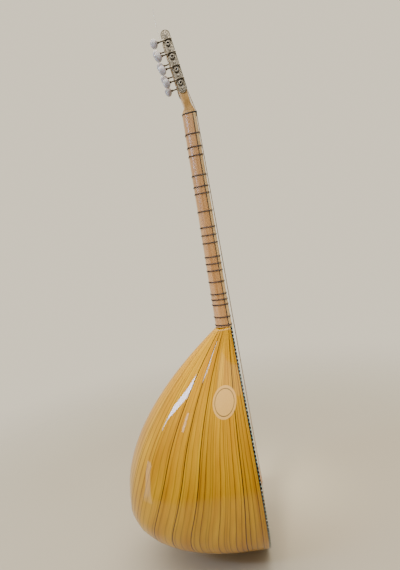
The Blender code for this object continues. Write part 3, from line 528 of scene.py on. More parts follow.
def pearloid():
    """Celluloid pearl: silvery plates some 4 mm wide that catch the light one by one."""
    made, node = new_material("pearloid celluloid")
    place = node("TexCoord").outputs["Object"]
    plates = node("TexVoronoi", {"Vector": place, "Scale": 220.0})
    swirl = node("TexNoise", {"Vector": place, "Scale": 110.0, "Detail": 1.0, "Distortion": 1.5})
    tone = node("Mix", {0: 0.5, 2: swirl, 3: plates}, data_type="FLOAT")
    colour = node("ValToRGB", {"Fac": tone}, ramp=(
        (0.25, "#9c969c"), (0.45, "#b4afb6"), (0.65, "#cfced8"),
    ))
    bump = node("Bump", {"Height": tone, "Strength": 0.05, "Distance": 0.0002})
    return surface(made, {
        "Base Color": colour, "Roughness": 0.22, "IOR": 1.5, "Coat Weight": 0.8,
        "Coat Roughness": 0.05, "Subsurface Weight": 0.1, "Subsurface Scale": 0.001,
        "Normal": bump,
    })


def paper_label():
    """Cream paper under the lacquer, with one thin printed line inside its edge."""
    made, node = new_material("cream label paper")
    uv = node("UVMap", uv_map="UVMap")
    radius = node("VectorMath", {0: uv, 1: (0.5, 0.5, 0)}, operation="DISTANCE")
    off = node("Math", {0: radius.outputs["Value"], 1: 0.405}, operation="SUBTRACT")
    size = node("Math", {0: off}, operation="ABSOLUTE")
    line = node("MapRange", {
        "Value": size, "From Min": 0.008, "From Max": 0.016, "To Min": 0.9, "To Max": 0.0,
    })
    fibre = node("TexNoise", {
        "Vector": node("TexCoord").outputs["Object"], "Scale": 900.0, "Detail": 4.0,
    })
    paper = node("ValToRGB", {"Fac": fibre}, ramp=((0.3, "#dba953"), (0.7, "#e6ba66")))
    colour = node("Mix", {0: line, 6: paper, 7: linear("#3a2a1c")}, data_type="RGBA").outputs[2]
    return surface(made, {
        "Base Color": colour, "Roughness": 0.45, "IOR": 1.5, "Coat Weight": 0.6,
        "Coat Roughness": 0.1,
    })


STAVE_LIGHT, STAVE_DEEP, STAVE_LINE = "#dfac14", "#c08604", "#5c3504"
STAVES = stave_wood()
# Rosy and even under varnish, with a soft broad shine down the round back
NECK_WOOD = plain_wood("varnished hornbeam neck", "#cf9c64", "#b17d45", 3.0, 0.4, 1.0)
# The same wood cut flat: yellower, so the headstock stands off from the neck
HEAD_WOOD = plain_wood("varnished hornbeam headstock", "#d8ac6a", "#bf9050", 3.0, 0.34)
# Pale and fine-grained, which lets the dark frets read
BOARD_WOOD = plain_wood("pale fingerboard maple", "#dab984", "#c49d64", 2.2, 0.36)
# Near black and almost without grain
EBONY = plain_wood("satin ebony", "#17110e", "#080504", 1.5, 0.55, 0.1)
# One thin dark line between fingerboard and neck
VENEER = plain_wood("grey dyed veneer", "#4c4842", "#36332e", 1.5, 0.5, 0.1)
# Dull raw wood inside the body
INNER = plain_wood("bare linden blocks", "#caa678", "#a98455", 2.5, 0.7)
SPRUCE = spruce_board()
MOSAIC = shell_mosaic()
NYLON = nylon()
PEARL = pearloid()
# Warm grey plate that glints at the rims of its scrolls, with painted shade in their grooves
ENGRAVED = metal("engraved nickel plate", "#c8c2b4", 0.34, 3.4, "#958e7d")
# Posts, screws, gears and rollers: small hard highlights
NICKEL = metal("polished nickel", "#b7b1a6", 0.2)
# A black disc at the bottom of each gear's bore: painted shade in the hole
HOLE_SHADE_BLACK = metal("black painted shade in the bore", "#15130f", 0.5)
# Worms, shafts and the plates' edge wire: nickel painted brown-black, painted shade for the dark
# room they reflect, against the bright plate
SHADED_NICKEL = metal("nickel painted dark as reflected shade", "#4a4338", 0.24)
# Plain strings, thin bright lines in front of the board
STEEL = metal("bright drawn steel wire", "#d8d6d0", 0.25)
# Bright steel painted near-white, its own shine and a painted glint: rough enough to look white
# from everywhere
GLINT_WHITE_STEEL = metal("silvered string end", "#f4f2ee", 0.55)
# Copper-red wound strings beside the white plain ones
BRONZE = metal("bronze winding wire", "#b98a55", 0.35)
PAPER = paper_label()


# Bowl, soundboard and edge binding


def rise_and_round(share, start, slope, peak_at, peak):
    """A size along the body: it leaves the neck at a slope, peaks and closes as an ellipse."""
    if share < peak_at:
        a = share / peak_at
        return (
            start * (2 * a**3 - 3 * a**2 + 1) + slope * peak_at * (a**3 - 2 * a**2 + a)
            + peak * (3 * a**2 - 2 * a**3)
        )
    b = (share - peak_at) / (1 - peak_at)
    return peak * math.sqrt(max(0.0, 1 - b * b))


def body_half_width(share):
    return rise_and_round(share, NECK_WIDTH_BODY / 2, SHOULDER_RISE_WIDTH, WIDEST_AT,
                          BODY_WIDTH / 2)


def body_depth(share):
    return rise_and_round(share, NECK_DEPTH_BODY, SHOULDER_RISE_DEPTH, DEEPEST_AT, BODY_DEPTH)


def body_share(v, last=1.0):
    """The place along the body for v from 0 to 1, closer together where it rounds to the tail."""
    straight = 0.55
    if v < straight:
        return WIDEST_AT * v / straight
    turn = math.asin((last - WIDEST_AT) / (1 - WIDEST_AT)) * (v - straight) / (1 - straight)
    return WIDEST_AT + (1 - WIDEST_AT) * math.sin(turn)


# Where the glue joints lie, as shares of the half arc from the rim, and how dark each looks
JOINTS = (0.02, 0.09, 0.175, 0.26, 0.345, 0.445, 0.56, 0.685, 0.815, 0.945)
EDGES = [-1.0] + [c - 1 for c in JOINTS] + [1 - c for c in reversed(JOINTS)] + [1.0]
GLUE = (0.0, 0.5, 0.8, 0.2, 0.25, 0.75, 0.85, 0.9, 0.35, 0.4, 0.4)
ARC_STEPS = 60
BOWL_INSIDE_BOX = 0.996  # keeps the wood inside the solids' own depth
TAIL_SHARE = 0.998  # where the staves end, just before the outline closes
arcs = {}


def bowl_arc(share):
    """Points of half a section, from the rim to the centre line, and the way to each."""
    if share not in arcs:
        roundness = blend(1.9, 2.69, share)
        half = body_half_width(share)
        depth = body_depth(share) * BOWL_INSIDE_BOX - BOARD - SEAM
        points, way = [], [0.0]
        for i in range(ARC_STEPS + 1):
            angle = math.pi / 2 * i / ARC_STEPS
            x, y = math.cos(angle) ** (2 / roundness), math.sin(angle) ** (2 / roundness)
            points.append((half * x, depth * y))
            if i:
                way.append(way[-1] + math.dist(points[i], points[i - 1]))
        arcs[share] = points, way
    return arcs[share]


def bowl_point(share, across):
    """Instrument-frame (x, y, z) of the bowl's outside; `across` is -1 and 1 at the rims."""
    points, way = bowl_arc(share)
    target = (1 - abs(across)) * way[-1]
    i = 1
    while i < ARC_STEPS and way[i] < target:
        i += 1
    local = (target - way[i - 1]) / (way[i] - way[i - 1])
    x = blend(points[i - 1][0], points[i][0], local)
    y = blend(points[i - 1][1], points[i][1], local)
    return Vector((math.copysign(x, across), y + BOARD + SEAM, -share * BODY_LENGTH - SEAM / 2))


def stave_edge(number, share):
    """The joints run straight down towards the tail before they gather under it."""
    past = max(share - 0.5, 0)
    power = 1 + 3.2 * past**2 + 4 * past**3
    return math.copysign(abs(EDGES[number]) ** power, EDGES[number])


STAVE_LINES = (0.0, 0.04, 0.27, 0.5, 0.73, 0.96)  # where the mesh has lines across a stave
JOINT_HALF = 1.3  # half the width of the darkened wood at a glue joint
STAVE_CROWN = 0.65  # how far a stave bulges from flat towards the full round of the section


def bowl_surface(u, v):
    """The staves' outside: u counts the staves across and v runs from the neck to the tail."""
    share = body_share(v, TAIL_SHARE)
    stave = min(int(u + 1e-9), len(EDGES) - 2)
    place = u - stave
    low, high = stave_edge(stave, share), stave_edge(stave + 1, share)
    a, b = bowl_point(share, low), bowl_point(share, high)
    if place < 0.1 or place > 0.9:
        # The line beside a glue joint lies a fixed way from it.
        near = min(JOINT_HALF / max((b - a).length, 1e-6), 0.2)
        beside = near if place < 0.1 else 1 - near
        place = round(place) if abs(place - round(place)) < 1e-6 else beside
    chord = a.lerp(b, place)
    round_point = bowl_point(share, blend(low, high, place))
    point = chord.lerp(round_point, STAVE_CROWN)
    return at(*point)


def make_bowl():
    """Nineteen staves and two rim strips, with the glue joints marked for the wood's colour."""
    across = [stave + line for stave in range(len(EDGES) - 1) for line in STAVE_LINES]
    across.append(len(EDGES) - 1)
    bowl = loft("staved_bowl", across, steps(0, 1, 90), bowl_surface, close=False, degrees=60)
    uv = bowl.data.uv_layers.active.data
    dark = {}
    for polygon in bowl.data.polygons:
        middle = sum(uv[i].uv.x for i in polygon.loop_indices) / 4
        for i in polygon.loop_indices:
            u = uv[i].uv.x
            if abs(u - round(u)) < 1e-4:
                edge = round(u)
                dark[bowl.data.loops[i].vertex_index] = GLUE[min(edge, len(EDGES) - 1 - edge)]
                uv[i].uv.x = u + (0.001 if middle > u else -0.001)
            uv[i].uv.y = body_share(uv[i].uv.y, TAIL_SHARE) * BODY_LENGTH * MM
    shade = bowl.data.attributes.new("joint_dark", "FLOAT", "POINT")
    for vertex, value in dark.items():
        shade.data[vertex].value = value
    apply_modifier(bowl, "SOLIDIFY", thickness=WALL * MM, offset=-1, use_quality_normals=True)
    finish_piece(bowl, "saz", STAVES, "lacquered stave wood",
                 "bowl_near_staves", "bowl_back_staves", "bowl_far_staves")


def board_edge(v, inset):
    """The outline from the neck down the +X side (v to 1) and back up the -X side (v to 2)."""
    side = 1 if v <= 1 else -1
    share = body_share(v if v <= 1 else 2 - v)
    x = max(body_half_width(share) - inset, 0)
    return side * x, min(-share * (BODY_LENGTH - inset), -SEAM / 2)


def make_board_and_binding():
    def board(u, v):
        x, z = board_edge(v, BINDING + 0.1)
        return at(x * u, 0, z)

    top = loft("soundboard_plate", steps(-1, 1, 12), steps(0, 1, 120), board, close=False)
    apply_modifier(top, "SOLIDIFY", thickness=BOARD * MM, offset=-1)
    finish_piece(top, "saz", SPRUCE, "spruce", "soundboard")

    corners = ((0, 0), (0, BOARD), (BINDING, BOARD), (BINDING, 0), (0, 0))

    def strip(u, v):
        inset, y = corners[round(u)]
        x, z = board_edge(v, inset)
        return at(x, y, z)

    rows = steps(0, 2, 240)
    binding = loft("mosaic_binding", steps(0, 4, 4), rows, strip, degrees=30)
    # The chips are spaced along the edge in metres.
    way, total = {rows[0]: 0.0}, 0.0
    for a, b in zip(rows, rows[1:]):
        total += math.dist(board_edge(a, 0), board_edge(b, 0)) * MM
        way[b] = total
    for loop in binding.data.uv_layers.active.data:
        loop.uv.y = way[min(way, key=lambda row: abs(row - loop.uv.y))]
    finish_piece(binding, "saz", MOSAIC, "shell mosaic", "edge_binding")


# Neck


def neck_half_width(z):
    return blend(NECK_WIDTH_BODY, NECK_WIDTH_NUT, z / NECK_LENGTH) / 2


def neck_depth(z):
    return blend(NECK_DEPTH_BODY, NECK_DEPTH_NUT, z / NECK_LENGTH)


def round_back(angle, half, front, back, roundness=2.3):
    """A point of the neck's section; it is flat in front, and 2 would be a true ellipse."""
    across = math.cos(angle)
    x = math.copysign(abs(across) ** (2 / roundness), across) * half
    return x, front + max(math.sin(angle), 0) ** (2 / roundness) * (back - front)


def make_neck():
    """The round neck and, on its flat front, the fingerboard with its eased edges."""
    def round_neck(u, z):
        half = neck_half_width(z)
        if u <= 40:
            x, y = round_back(math.pi * u / 40, half, NECK_FRONT, neck_depth(z))
        else:
            x, y = blend(-half, half, (u - 40) / 4), NECK_FRONT
        return at(x, y, z)

    neck = loft("round_neck", steps(0, 44, 44), steps(SEAM, NECK_LENGTH, 24), round_neck)
    finish_piece(neck, "saz", NECK_WOOD, "neck wood", "neck")

    board = solid("cube", "fingerboard_slab", (0, FINGERBOARD / 2, (SEAM + NECK_LENGTH) / 2),
                  (NECK_WIDTH_BODY, FINGERBOARD, NECK_LENGTH - SEAM))
    bevel_edges(board, lambda a, b: a.y + b.y < 1 and abs(a.z - b.z) > 100, BOARD_CORNER, 5)
    mode("EDIT")
    select_where(board, lambda middle, normal: normal.z > 0.9)
    bpy.ops.transform.resize(value=(NECK_WIDTH_NUT / NECK_WIDTH_BODY, 1, 1),
                             center_override=(0, 0, NECK_LENGTH * MM))
    mode("OBJECT")
    smooth(board, 40)
    board.data.transform(Matrix.Translation(at(0, 0, 0)))
    finish_piece(board, "saz", BOARD_WOOD, "fingerboard wood", "fingerboard")


def fret_path(z, offset):
    """Closed path round the neck and over the fingerboard, a distance off the wood."""
    half, back = neck_half_width(z), neck_depth(z)
    points = [round_back(math.pi * i / 40, half + offset, NECK_FRONT, back + offset)
              for i in range(41)]
    reach = BOARD_CORNER + offset
    for middle, start in ((-half + BOARD_CORNER, 180), (half - BOARD_CORNER, 270)):
        for degrees in range(start, start + 91, 30):
            angle = math.radians(degrees)
            points.append((middle + reach * math.cos(angle),
                           BOARD_CORNER + reach * math.sin(angle)))
    return points


def make_frets():
    """Nineteen frets, each of three turns of nylon and a knot with its two cut ends."""
    strand = 0.34
    knot_at = 27  # the point of the path at the back edge of the near side
    knot_shares = (0.6, 1.5, 2.3, 1.5, 0.6)
    for number, ratio in enumerate(FRET_RATIOS, 1):
        body = f"fret_{number:02d}"
        z = NECK_LENGTH - SCALE_LENGTH * (1 - 1 / ratio)
        path = fret_path(z, 0.3 + strand)
        lines = [[at(x, y, z + place) for x, y in path] for place in (-0.66, 0, 0.66)]
        turns = wire(body + "_turns", lines, strand * MM, cyclic=True)
        knot = []
        for step, share in zip((-2, -1, 0, 1, 2), knot_shares):
            x, y = path[knot_at + step // 2]
            push = 1 + 0.02 * share
            knot.append(at(x * push, y * push, z + 0.7 * step))
        tied = wire(body + "_knot", [knot], strand * MM, shares=knot_shares)
        finish_piece(turns, body, NYLON, "brown nylon", body)
        finish_piece(tied, body, NYLON, "brown nylon")


# Headstock


def neck_to_head(y, past_nut):
    """A depth and a height past the nut, as (y, s) in the headstock's own frame."""
    cos, sin = math.cos(HEAD_TILT), math.sin(HEAD_TILT)
    return (y - HEAD_MID_Y) * cos - past_nut * sin, (y - HEAD_MID_Y) * sin + past_nut * cos


# Front (y, s), back (y, s), half width and squareness, from the nut to the slab
HEAD_STATIONS = (
    (*neck_to_head(0.3, 2.8), *neck_to_head(24, 2.8), 14, 0.0),
    (*neck_to_head(0.9, 5.3), *neck_to_head(22.6, 6.3), 14, 0.0),
    (*neck_to_head(3.2, 10.8), *neck_to_head(19, 11.3), 14, 0.2),
    (-6.6, 17.1, 6.6, 14.9, 14.9, 0.5),
    (-6.6, 23.9, 6.6, 23.9, 16.6, 0.85),
    (-6.6, 31, 6.6, 31, 17.5, 1.0),
)


def make_headstock():
    """One smooth form from the neck's section to the slab, bored and with two slots."""
    half_thick = HEAD_THICKNESS / 2
    last = len(HEAD_STATIONS) - 1
    slab_low, slab_high = HEAD_STATIONS[-1][1], HEAD_LENGTH - ROUND_END

    def shape(u, v):
        if v <= last:
            front_y, front_s, back_y, back_s, half, square = (
                through(column, v) for column in zip(*HEAD_STATIONS))
        else:
            past = max(v - last - 2, 0)
            front_s = blend(slab_low, slab_high, (v - last) / 2) if v <= last + 2 \
                else slab_high + ROUND_END * past
            back_s = front_s
            shrink = 1 - math.sqrt(1 - past**2)
            front_y, back_y = -half_thick + 5.5 * shrink, half_thick - 5.5 * shrink
            half, square = HEAD_WIDTH / 2 - 2 * shrink, 1
        roundness = blend(2.3, 14, min(max(square, 0), 1))
        if u <= 32:
            x, share = round_back(math.pi * u / 32, half, 0, 1, roundness)
        else:
            x, share = blend(-half, half, (u - 32) / 4), 0
        return head(x, blend(front_y, back_y, share), blend(front_s, back_s, share))

    rows = steps(0, last, 30) + steps(last, last + 2, 8)[1:]
    rows += [last + 2 + math.sin(math.pi * i / 20) for i in range(1, 11)]
    stock = loft("slotted_headstock", steps(0, 36, 36), rows, shape, degrees=40)
    cutters = []
    for side in (NEAR, FAR):
        slot = solid("cube", "slot", (side * SLOT_X, 0, (SLOT_LOW + SLOT_HIGH) / 2),
                     (SLOT_WIDE, 30, SLOT_HIGH - SLOT_LOW))
        bevel_edges(slot, lambda a, b: abs(a.y - b.y) > 20, 3.6, 6)
        cutters.append(slot)
    for s in TUNERS:
        cutters.append(solid("cylinder", "bore", (0, 0, s), (BORE_RADIUS, BORE_RADIUS, 60), ON_X,
                             vertices=32))
    for cutter in cutters:
        cutter.data.transform(HEAD_FRAME)
        cut(stock, cutter)
    smooth(stock, 35)
    eased(stock, 0.45, 50, 35)
    finish_piece(stock, "saz", HEAD_WOOD, "neck wood", "headstock")


# Tuners


def make_worm():
    """Close on six turns of thread in one strand, with the pitch that drives the gear."""
    lead = 2 * math.pi * GEAR_RADIUS / GEAR_TEETH
    half, sides, rows = 5.0, 24, 70

    def thread(u, v):
        along = blend(-half, half, v / rows)
        phase = (along + half) / lead - u / sides - (half / lead) % 1
        crest = 0.5 + 0.5 * math.cos(2 * math.pi * phase)
        fade = min(1, (half - abs(along)) / 0.4)
        radius = 1.0 + crest**1.4 * fade
        angle = 2 * math.pi * u / sides
        return Vector((radius * math.sin(angle), along, radius * math.cos(angle))) * MM

    return loft("worm", steps(0, sides, sides), steps(0, rows, rows), thread, degrees=60)


def make_gear():
    """A toothed wheel about X, with a round bead about its bored middle."""
    step = math.pi / GEAR_TEETH
    gear = solid("cylinder", "worm_gear", (1.175, 0, 0), (3.45, 3.45, 2.35), ON_X,
                 vertices=2 * GEAR_TEETH)
    mode("EDIT")
    select_where(gear, lambda middle, normal: abs(normal.x) < 0.1
                 and int(math.atan2(normal.z, normal.y) % (2 * math.pi) / step) % 2 == 0)
    bpy.ops.mesh.extrude_faces_move(TRANSFORM_OT_shrink_fatten={"value": 0.85 * MM})
    mode("OBJECT")
    # Half a step further, a tooth stands in the worm's groove.
    gear.data.transform(Matrix.Rotation(step / 2, 4, "X"))
    cut(gear, solid("cylinder", "bore", (2.2, 0, 0), (1.8, 1.8, 2), ON_X,
                    vertices=24))
    eased(gear, 0.12)
    bead = solid("torus", "bead", (2.35, 0, 0), (1, 1, 1), ON_X, major_radius=2.3,
                 minor_radius=0.5, major_segments=32, minor_segments=10)
    bpy.ops.object.shade_smooth()
    return joined("worm_gear", [gear, bead])


def make_tuners():
    """Eight tuners: worm, shaft and button turn together, and the gear turns the roller."""
    worm, gear = make_worm(), make_gear()
    # A rod, its thicker outer end and the collar that holds the button
    shaft = joined("worm_shaft", [
        solid("cylinder", "rod", (0, (low + high) / 2, 0), (radius, radius, high - low), ON_Y,
              vertices=24)
        for low, high, radius in ((-8.4, 8.7, 1.0), (8.6, 14.8, 1.2), (14.7, 17.3, 2.0))
    ])
    eased(shaft, 0.25)
    button = solid("uv_sphere", "pearl_button", (0, 23.2, 0), (3.8, 6.3, 8.5),
                   segments=32, ring_count=20)
    bpy.ops.object.shade_smooth()
    # A black disc sunk in the gear's bore, painted shade where the hole looks dark
    hole_shade = solid("cylinder", "gear_bore_shade", (1.15, 0, 0), (1.75, 1.75, 0.3), ON_X,
                 vertices=24)
    roller = solid("cylinder", "string_roller", (10.35, 0, 0),
                   (ROLLER_RADIUS, ROLLER_RADIUS, 18.7), ON_X,
                   vertices=32)
    eased(roller, 0.3)

    for side in (NEAR, FAR):
        for number, s in enumerate(TUNERS, 1):
            name = f"{SIDE_NAMES[side]}_{number}"
            shaft_body, roller_body = f"tuner_shaft_{name}", f"tuner_roller_{name}"
            on_shaft = HEAD_FRAME @ Matrix.Translation(
                Vector((side * GEAR_X, 0, s + WORM_OFFSET)) * MM)
            on_roller = HEAD_FRAME @ Matrix.Translation((0, 0, s * MM)) \
                @ Matrix.Diagonal((side, 1, 1, 1))
            on_plate = on_roller @ Matrix.Translation(((GEAR_X - 1.3) * MM, 0, 0))
            for source, place, body, material, slot, nodes in (
                (worm, on_shaft, shaft_body, SHADED_NICKEL, "pearl and steel", [shaft_body]),
                (shaft, on_shaft, shaft_body, SHADED_NICKEL, "pearl and steel", []),
                (button, on_shaft, shaft_body, PEARL, "pearl and steel", []),
                (gear, on_plate, roller_body, NICKEL, "nickel plate", [roller_body]),
                (hole_shade, on_plate, roller_body, HOLE_SHADE_BLACK, "nickel plate", []),
                (roller, on_roller, roller_body, NICKEL, "nickel plate", []),
            ):
                piece = copied(source, f"{source.name}_{name}", place)
                finish_piece(piece, body, material, slot, *nodes)
            make_turns(side, number, s, roller_body)
    for source in (worm, shaft, button, gear, hole_shade, roller):
        bpy.data.objects.remove(source)


def winding_x(number):
    """How far out a string winds on a roller: less on each higher one, so that it passes."""
    return SLOT_X + SLOT_WIDE * (0.2 - 0.13 * (number - 1))


def plate_frame(side):
    """From a plate lying flat, X across and Y up its length, to its place on the headstock."""
    lay = Matrix(((0, 0, side, side * PLATE_INNER * MM), (1, 0, 0, 0), (0, 1, 0, 0), (0, 0, 0, 1)))
    return HEAD_FRAME @ lay


def make_plates():
    """Stamped plates with a raised rim, scrolls, folded posts for the worms, and screws."""
    low, high = PLATE_LOW + PLATE_HALF, PLATE_HIGH - PLATE_HALF
    plate = solid("cylinder", "tuner_plate", (0, low, PLATE_THICK / 2),
                  (PLATE_HALF, PLATE_HALF, PLATE_THICK), vertices=64)
    for vertex in plate.data.vertices:
        if vertex.co.y > low * MM + 1e-6:
            vertex.co.y += (high - low) * MM
    mode("EDIT")
    select_where(plate, lambda middle, normal: normal.z > 0.9)
    for inward, up in ((0.9, -0.3), (0.5, 0.12)):
        bpy.ops.mesh.inset(thickness=inward * MM)
        bpy.ops.transform.translate(value=(0, 0, up * MM))
    mode("OBJECT")
    for s in TUNERS:
        cut(plate, solid("cylinder", "bore", (0, s, 0), (BORE_RADIUS, BORE_RADIUS, 6),
                         vertices=32))
    eased(plate, 0.12)

    posts = joined("worm_posts", [
        solid("cube", "post", (y, s + WORM_OFFSET, PLATE_THICK + POST_HIGH / 2 - 0.2),
              (POST_THICK, POST_LONG, POST_HIGH + 0.4))
        for s in TUNERS for y in (-POST_Y, POST_Y)
    ])
    # The folded ends are round where they hold the shaft.
    half_up = PLATE_THICK + POST_HIGH / 2
    bevel_edges(posts, lambda a, b: abs(a.x - b.x) > 1 and min(a.z, b.z) > half_up, 1.9, 6)
    for s in TUNERS:
        cut(posts, solid("cylinder", "bore", (0, s + WORM_OFFSET, GEAR_X - PLATE_INNER),
                         (1.3, 1.3, 20), ON_X, vertices=24))
    eased(posts, 0.15, 50)

    screws = []
    for s in SCREWS:
        screw = solid("cylinder", "screw", (0, s, PLATE_THICK + 0.2), (1.9, 1.9, 1.0),
                      vertices=24)
        cut(screw, solid("cube", "slot", (0, s, PLATE_THICK + 0.75), (5, 0.55, 0.6),
                         (0, 0, 0.7 + s)))
        screws.append(screw)
    screws = joined("plate_screws", screws)
    eased(screws, 0.18)

    # Engraved scrolls: a ring of six at each end, and four spirals between two tuners
    scrolls = []
    for s in (low, high):
        scrolls.append([scroll_point(0, s, a, 5.0) for a in range(0, 361, 12)])
        for turn in range(6):
            x, y = 3.4 * math.cos(turn * math.pi / 3), s + 3.4 * math.sin(turn * math.pi / 3)
            scrolls.append([scroll_point(x, y, a, 0.9) for a in range(0, 361, 30)])
    for s in SCREWS[1:-1]:
        for side, up in ((-1, -1), (-1, 1), (1, -1), (1, 1)):
            scrolls.append([
                scroll_point(side * 3.9, s + up * 2.4, 90 * up + side * a, 2.3 - 1.7 * a / 540)
                for a in range(0, 541, 20)
            ])
    relief = wire("plate_scrolls", scrolls, 0.3 * MM)

    edge = []
    for angle in range(0, 360, 10):
        turn, reach = math.radians(angle), PLATE_HALF - 0.15
        x, y = reach * math.cos(turn), (high if angle < 180 else low) + reach * math.sin(turn)
        edge.append(Vector((x, y, PLATE_THICK - 0.1)) * MM)
    edge = wire("plate_edge", [edge], 0.4 * MM, cyclic=True, sides=4)

    # The edge wire takes the nickel painted dark, a painted line of shade round each plate's rim
    for side in (NEAR, FAR):
        name, lay = SIDE_NAMES[side], plate_frame(side)
        for source, material, nodes in (
            (plate, ENGRAVED, [f"tuner_plate_{name}"]), (posts, NICKEL, []), (screws, NICKEL, []),
            (relief, NICKEL, []), (edge, SHADED_NICKEL, []),
        ):
            piece = copied(source, f"{source.name}_{name}", lay)
            finish_piece(piece, "saz", material, "nickel plate", *nodes)
    for source in (plate, posts, screws, relief, edge):
        bpy.data.objects.remove(source)


def scroll_point(x, y, angle, reach):
    """A point of a scroll about (x, y) on the lying plate, half sunk in it."""
    turn = math.radians(angle)
    place = Vector((x + reach * math.cos(turn), y + reach * math.sin(turn), PLATE_THICK - 0.15))
    return place * MM


def make_turns(side, number, s, body):
    """The four turns of string on one roller."""
    string = next((row for row in STRINGS if row[3:] == (side, number)), None)
    if not string:
        return
    thickness = string[0]
    radius, pitch = ROLLER_RADIUS + thickness / 2, thickness + 0.1
    line = []
    for i in range(4 * 16 + 1):
        angle = 2 * math.pi * i / 16
        x = side * (winding_x(number) + pitch * (i / 16 - 2))
        place = Vector((x, -radius * math.cos(angle), s - radius * math.sin(angle)))
        line.append(HEAD_FRAME @ (place * MM))
    turns = wire(f"string_turns_{SIDE_NAMES[side]}_{number}", [line], thickness / 2 * MM)
    finish_piece(turns, body, BRONZE if thickness > 0.4 else STEEL, "plain steel")


# Strings and label


def make_strings():
    """Each string runs from its ball under the tail over bridge and nut to its roller."""
    for number, (thickness, course, place, side, roller) in enumerate(STRINGS, 1):
        radius, aside = thickness / 2, place * STRING_STEP
        holder_x, bridge_x = course * HOLDER_X + aside, course * BRIDGE_X + aside
        nut_x = course * NUT_X + place * NUT_STRING_STEP
        under = -BODY_LENGTH - 6.3
        bridge_y, bridge_z = -7.35 - radius, NECK_LENGTH - SCALE_LENGTH
        off_roller = ROLLER_RADIUS + thickness + 0.15 + radius
        points = [
            at(holder_x, -1.8, under - 0.2), at(holder_x, -1.8, -BODY_LENGTH - 0.1),
            at(holder_x, -2.4, -BODY_LENGTH + 2.5),
            at(bridge_x, bridge_y, bridge_z - 1), at(bridge_x, bridge_y, bridge_z + 1),
            at(nut_x, -1.9, NECK_LENGTH + 0.3), at(nut_x, -1.9, NECK_LENGTH + 2.5),
            head(side * winding_x(roller), -off_roller, TUNERS[roller - 1]),
        ]
        ball = [at(holder_x, -1.8, under - 1.4), at(holder_x, -1.8, under - 0.3)]
        string = wire(f"string_{number}_wire", [points], radius * MM)
        drawn, slot = (BRONZE, "wound bronze") if thickness > 0.4 else (STEEL, "plain steel")
        finish_piece(string, "saz", drawn, slot, f"string_{number}")
        ball_end = wire(f"string_{number}_ball", [ball], 1.04 * MM, sides=6)
        finish_piece(ball_end, "saz", BRONZE, slot)


def make_loose_end():
    """The stiff end of the top near string, which springs up from its roller."""
    # Depth off the headstock's middle plane and height past the roller
    route = (
        (2.7, 1.75), (4.4, 3.2), (6.8, 5.8), (8.9, 8.8), (9.9, 12.3), (10.2, 18),
        (10.0, 28), (9.2, 40), (7.9, 52), (6.0, 64.9),
    )
    controls = [
        head(-winding_x(4) - 0.067 * past, y, TUNERS[3] + past) for y, past in route
    ]
    points = [through(controls, i / 4) for i in range(4 * (len(controls) - 1) + 1)]
    loose = wire("loose_string_end", [points], 0.25 * MM, convert=False)
    finish_piece(loose, "saz", GLINT_WHITE_STEEL, "plain steel", "string_tail")


def refined(node, bevel_mm, material, slot):
    """A copy of a CAD node with its doubles merged and its edges eased."""
    made = copied(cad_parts[node], node + "_eased", Matrix())
    for key in list(made.keys()):
        del made[key]
    made.parent = None
    only(made)
    mode("EDIT")
    bpy.ops.mesh.select_all(action="SELECT")
    bpy.ops.mesh.remove_doubles(threshold=2e-6)
    bpy.ops.mesh.dissolve_limited(angle_limit=math.radians(1))
    mode("OBJECT")
    eased(made, bevel_mm, 40, 35)
    finish_piece(made, "saz", material, slot, node)


def bowl_skin(share, across):
    """The faceted outside of the bowl at any place, as the staves' surface has it."""
    stave = max(i for i in range(len(EDGES) - 1) if EDGES[i] <= across)
    place = (across - EDGES[stave]) / (EDGES[stave + 1] - EDGES[stave])
    chord = bowl_point(share, EDGES[stave]).lerp(bowl_point(share, EDGES[stave + 1]), place)
    return chord.lerp(bowl_point(share, across), STAVE_CROWN)


LABEL_SHARE, LABEL_ACROSS = 0.284, -0.822
LABEL_WIDE, LABEL_TALL, LABEL_PROUD = 42, 58, 0.22


def make_label():
    """An oval paper label under the lacquer of the near side, bare but for its printed line."""
    small = 0.01
    stretch = bowl_skin(LABEL_SHARE + small, LABEL_ACROSS) - bowl_skin(LABEL_SHARE, LABEL_ACROSS)
    per_share = stretch.length / small

    def paper(u, v):
        angle = 2 * math.pi * u / 64
        share = LABEL_SHARE - v * math.cos(angle) * LABEL_TALL / 2 / per_share
        aside = v * math.sin(angle) * LABEL_WIDE / 2
        across = LABEL_ACROSS + aside / bowl_arc(share)[1][-1]
        point = bowl_skin(share, across)
        down = bowl_skin(share + 0.004, across) - point
        round_it = bowl_skin(share, across + 0.008) - point
        return at(*(point + round_it.cross(down).normalized() * LABEL_PROUD))

    rings = [0.001] + steps(0, 1, 14)[1:]
    label = loft("oval_label", steps(0, 64, 64), rings, paper, close=False)
    only(label)
    mode("EDIT")
    bpy.ops.mesh.select_all(action="SELECT")
    bpy.ops.mesh.remove_doubles(threshold=5e-5)
    bpy.ops.mesh.normals_make_consistent(inside=False)
    mode("OBJECT")
    for loop in label.data.uv_layers.active.data:
        angle, radius = 2 * math.pi * loop.uv.x / 64, loop.uv.y / 2
        loop.uv = (0.5 + radius * math.sin(angle), 0.5 + radius * math.cos(angle))
    apply_modifier(label, "SOLIDIFY", thickness=0.15 * MM, offset=-1)
    smooth(label, 30)
    finish_piece(label, "saz", PAPER, "lacquered stave wood")


# Floor, light and camera


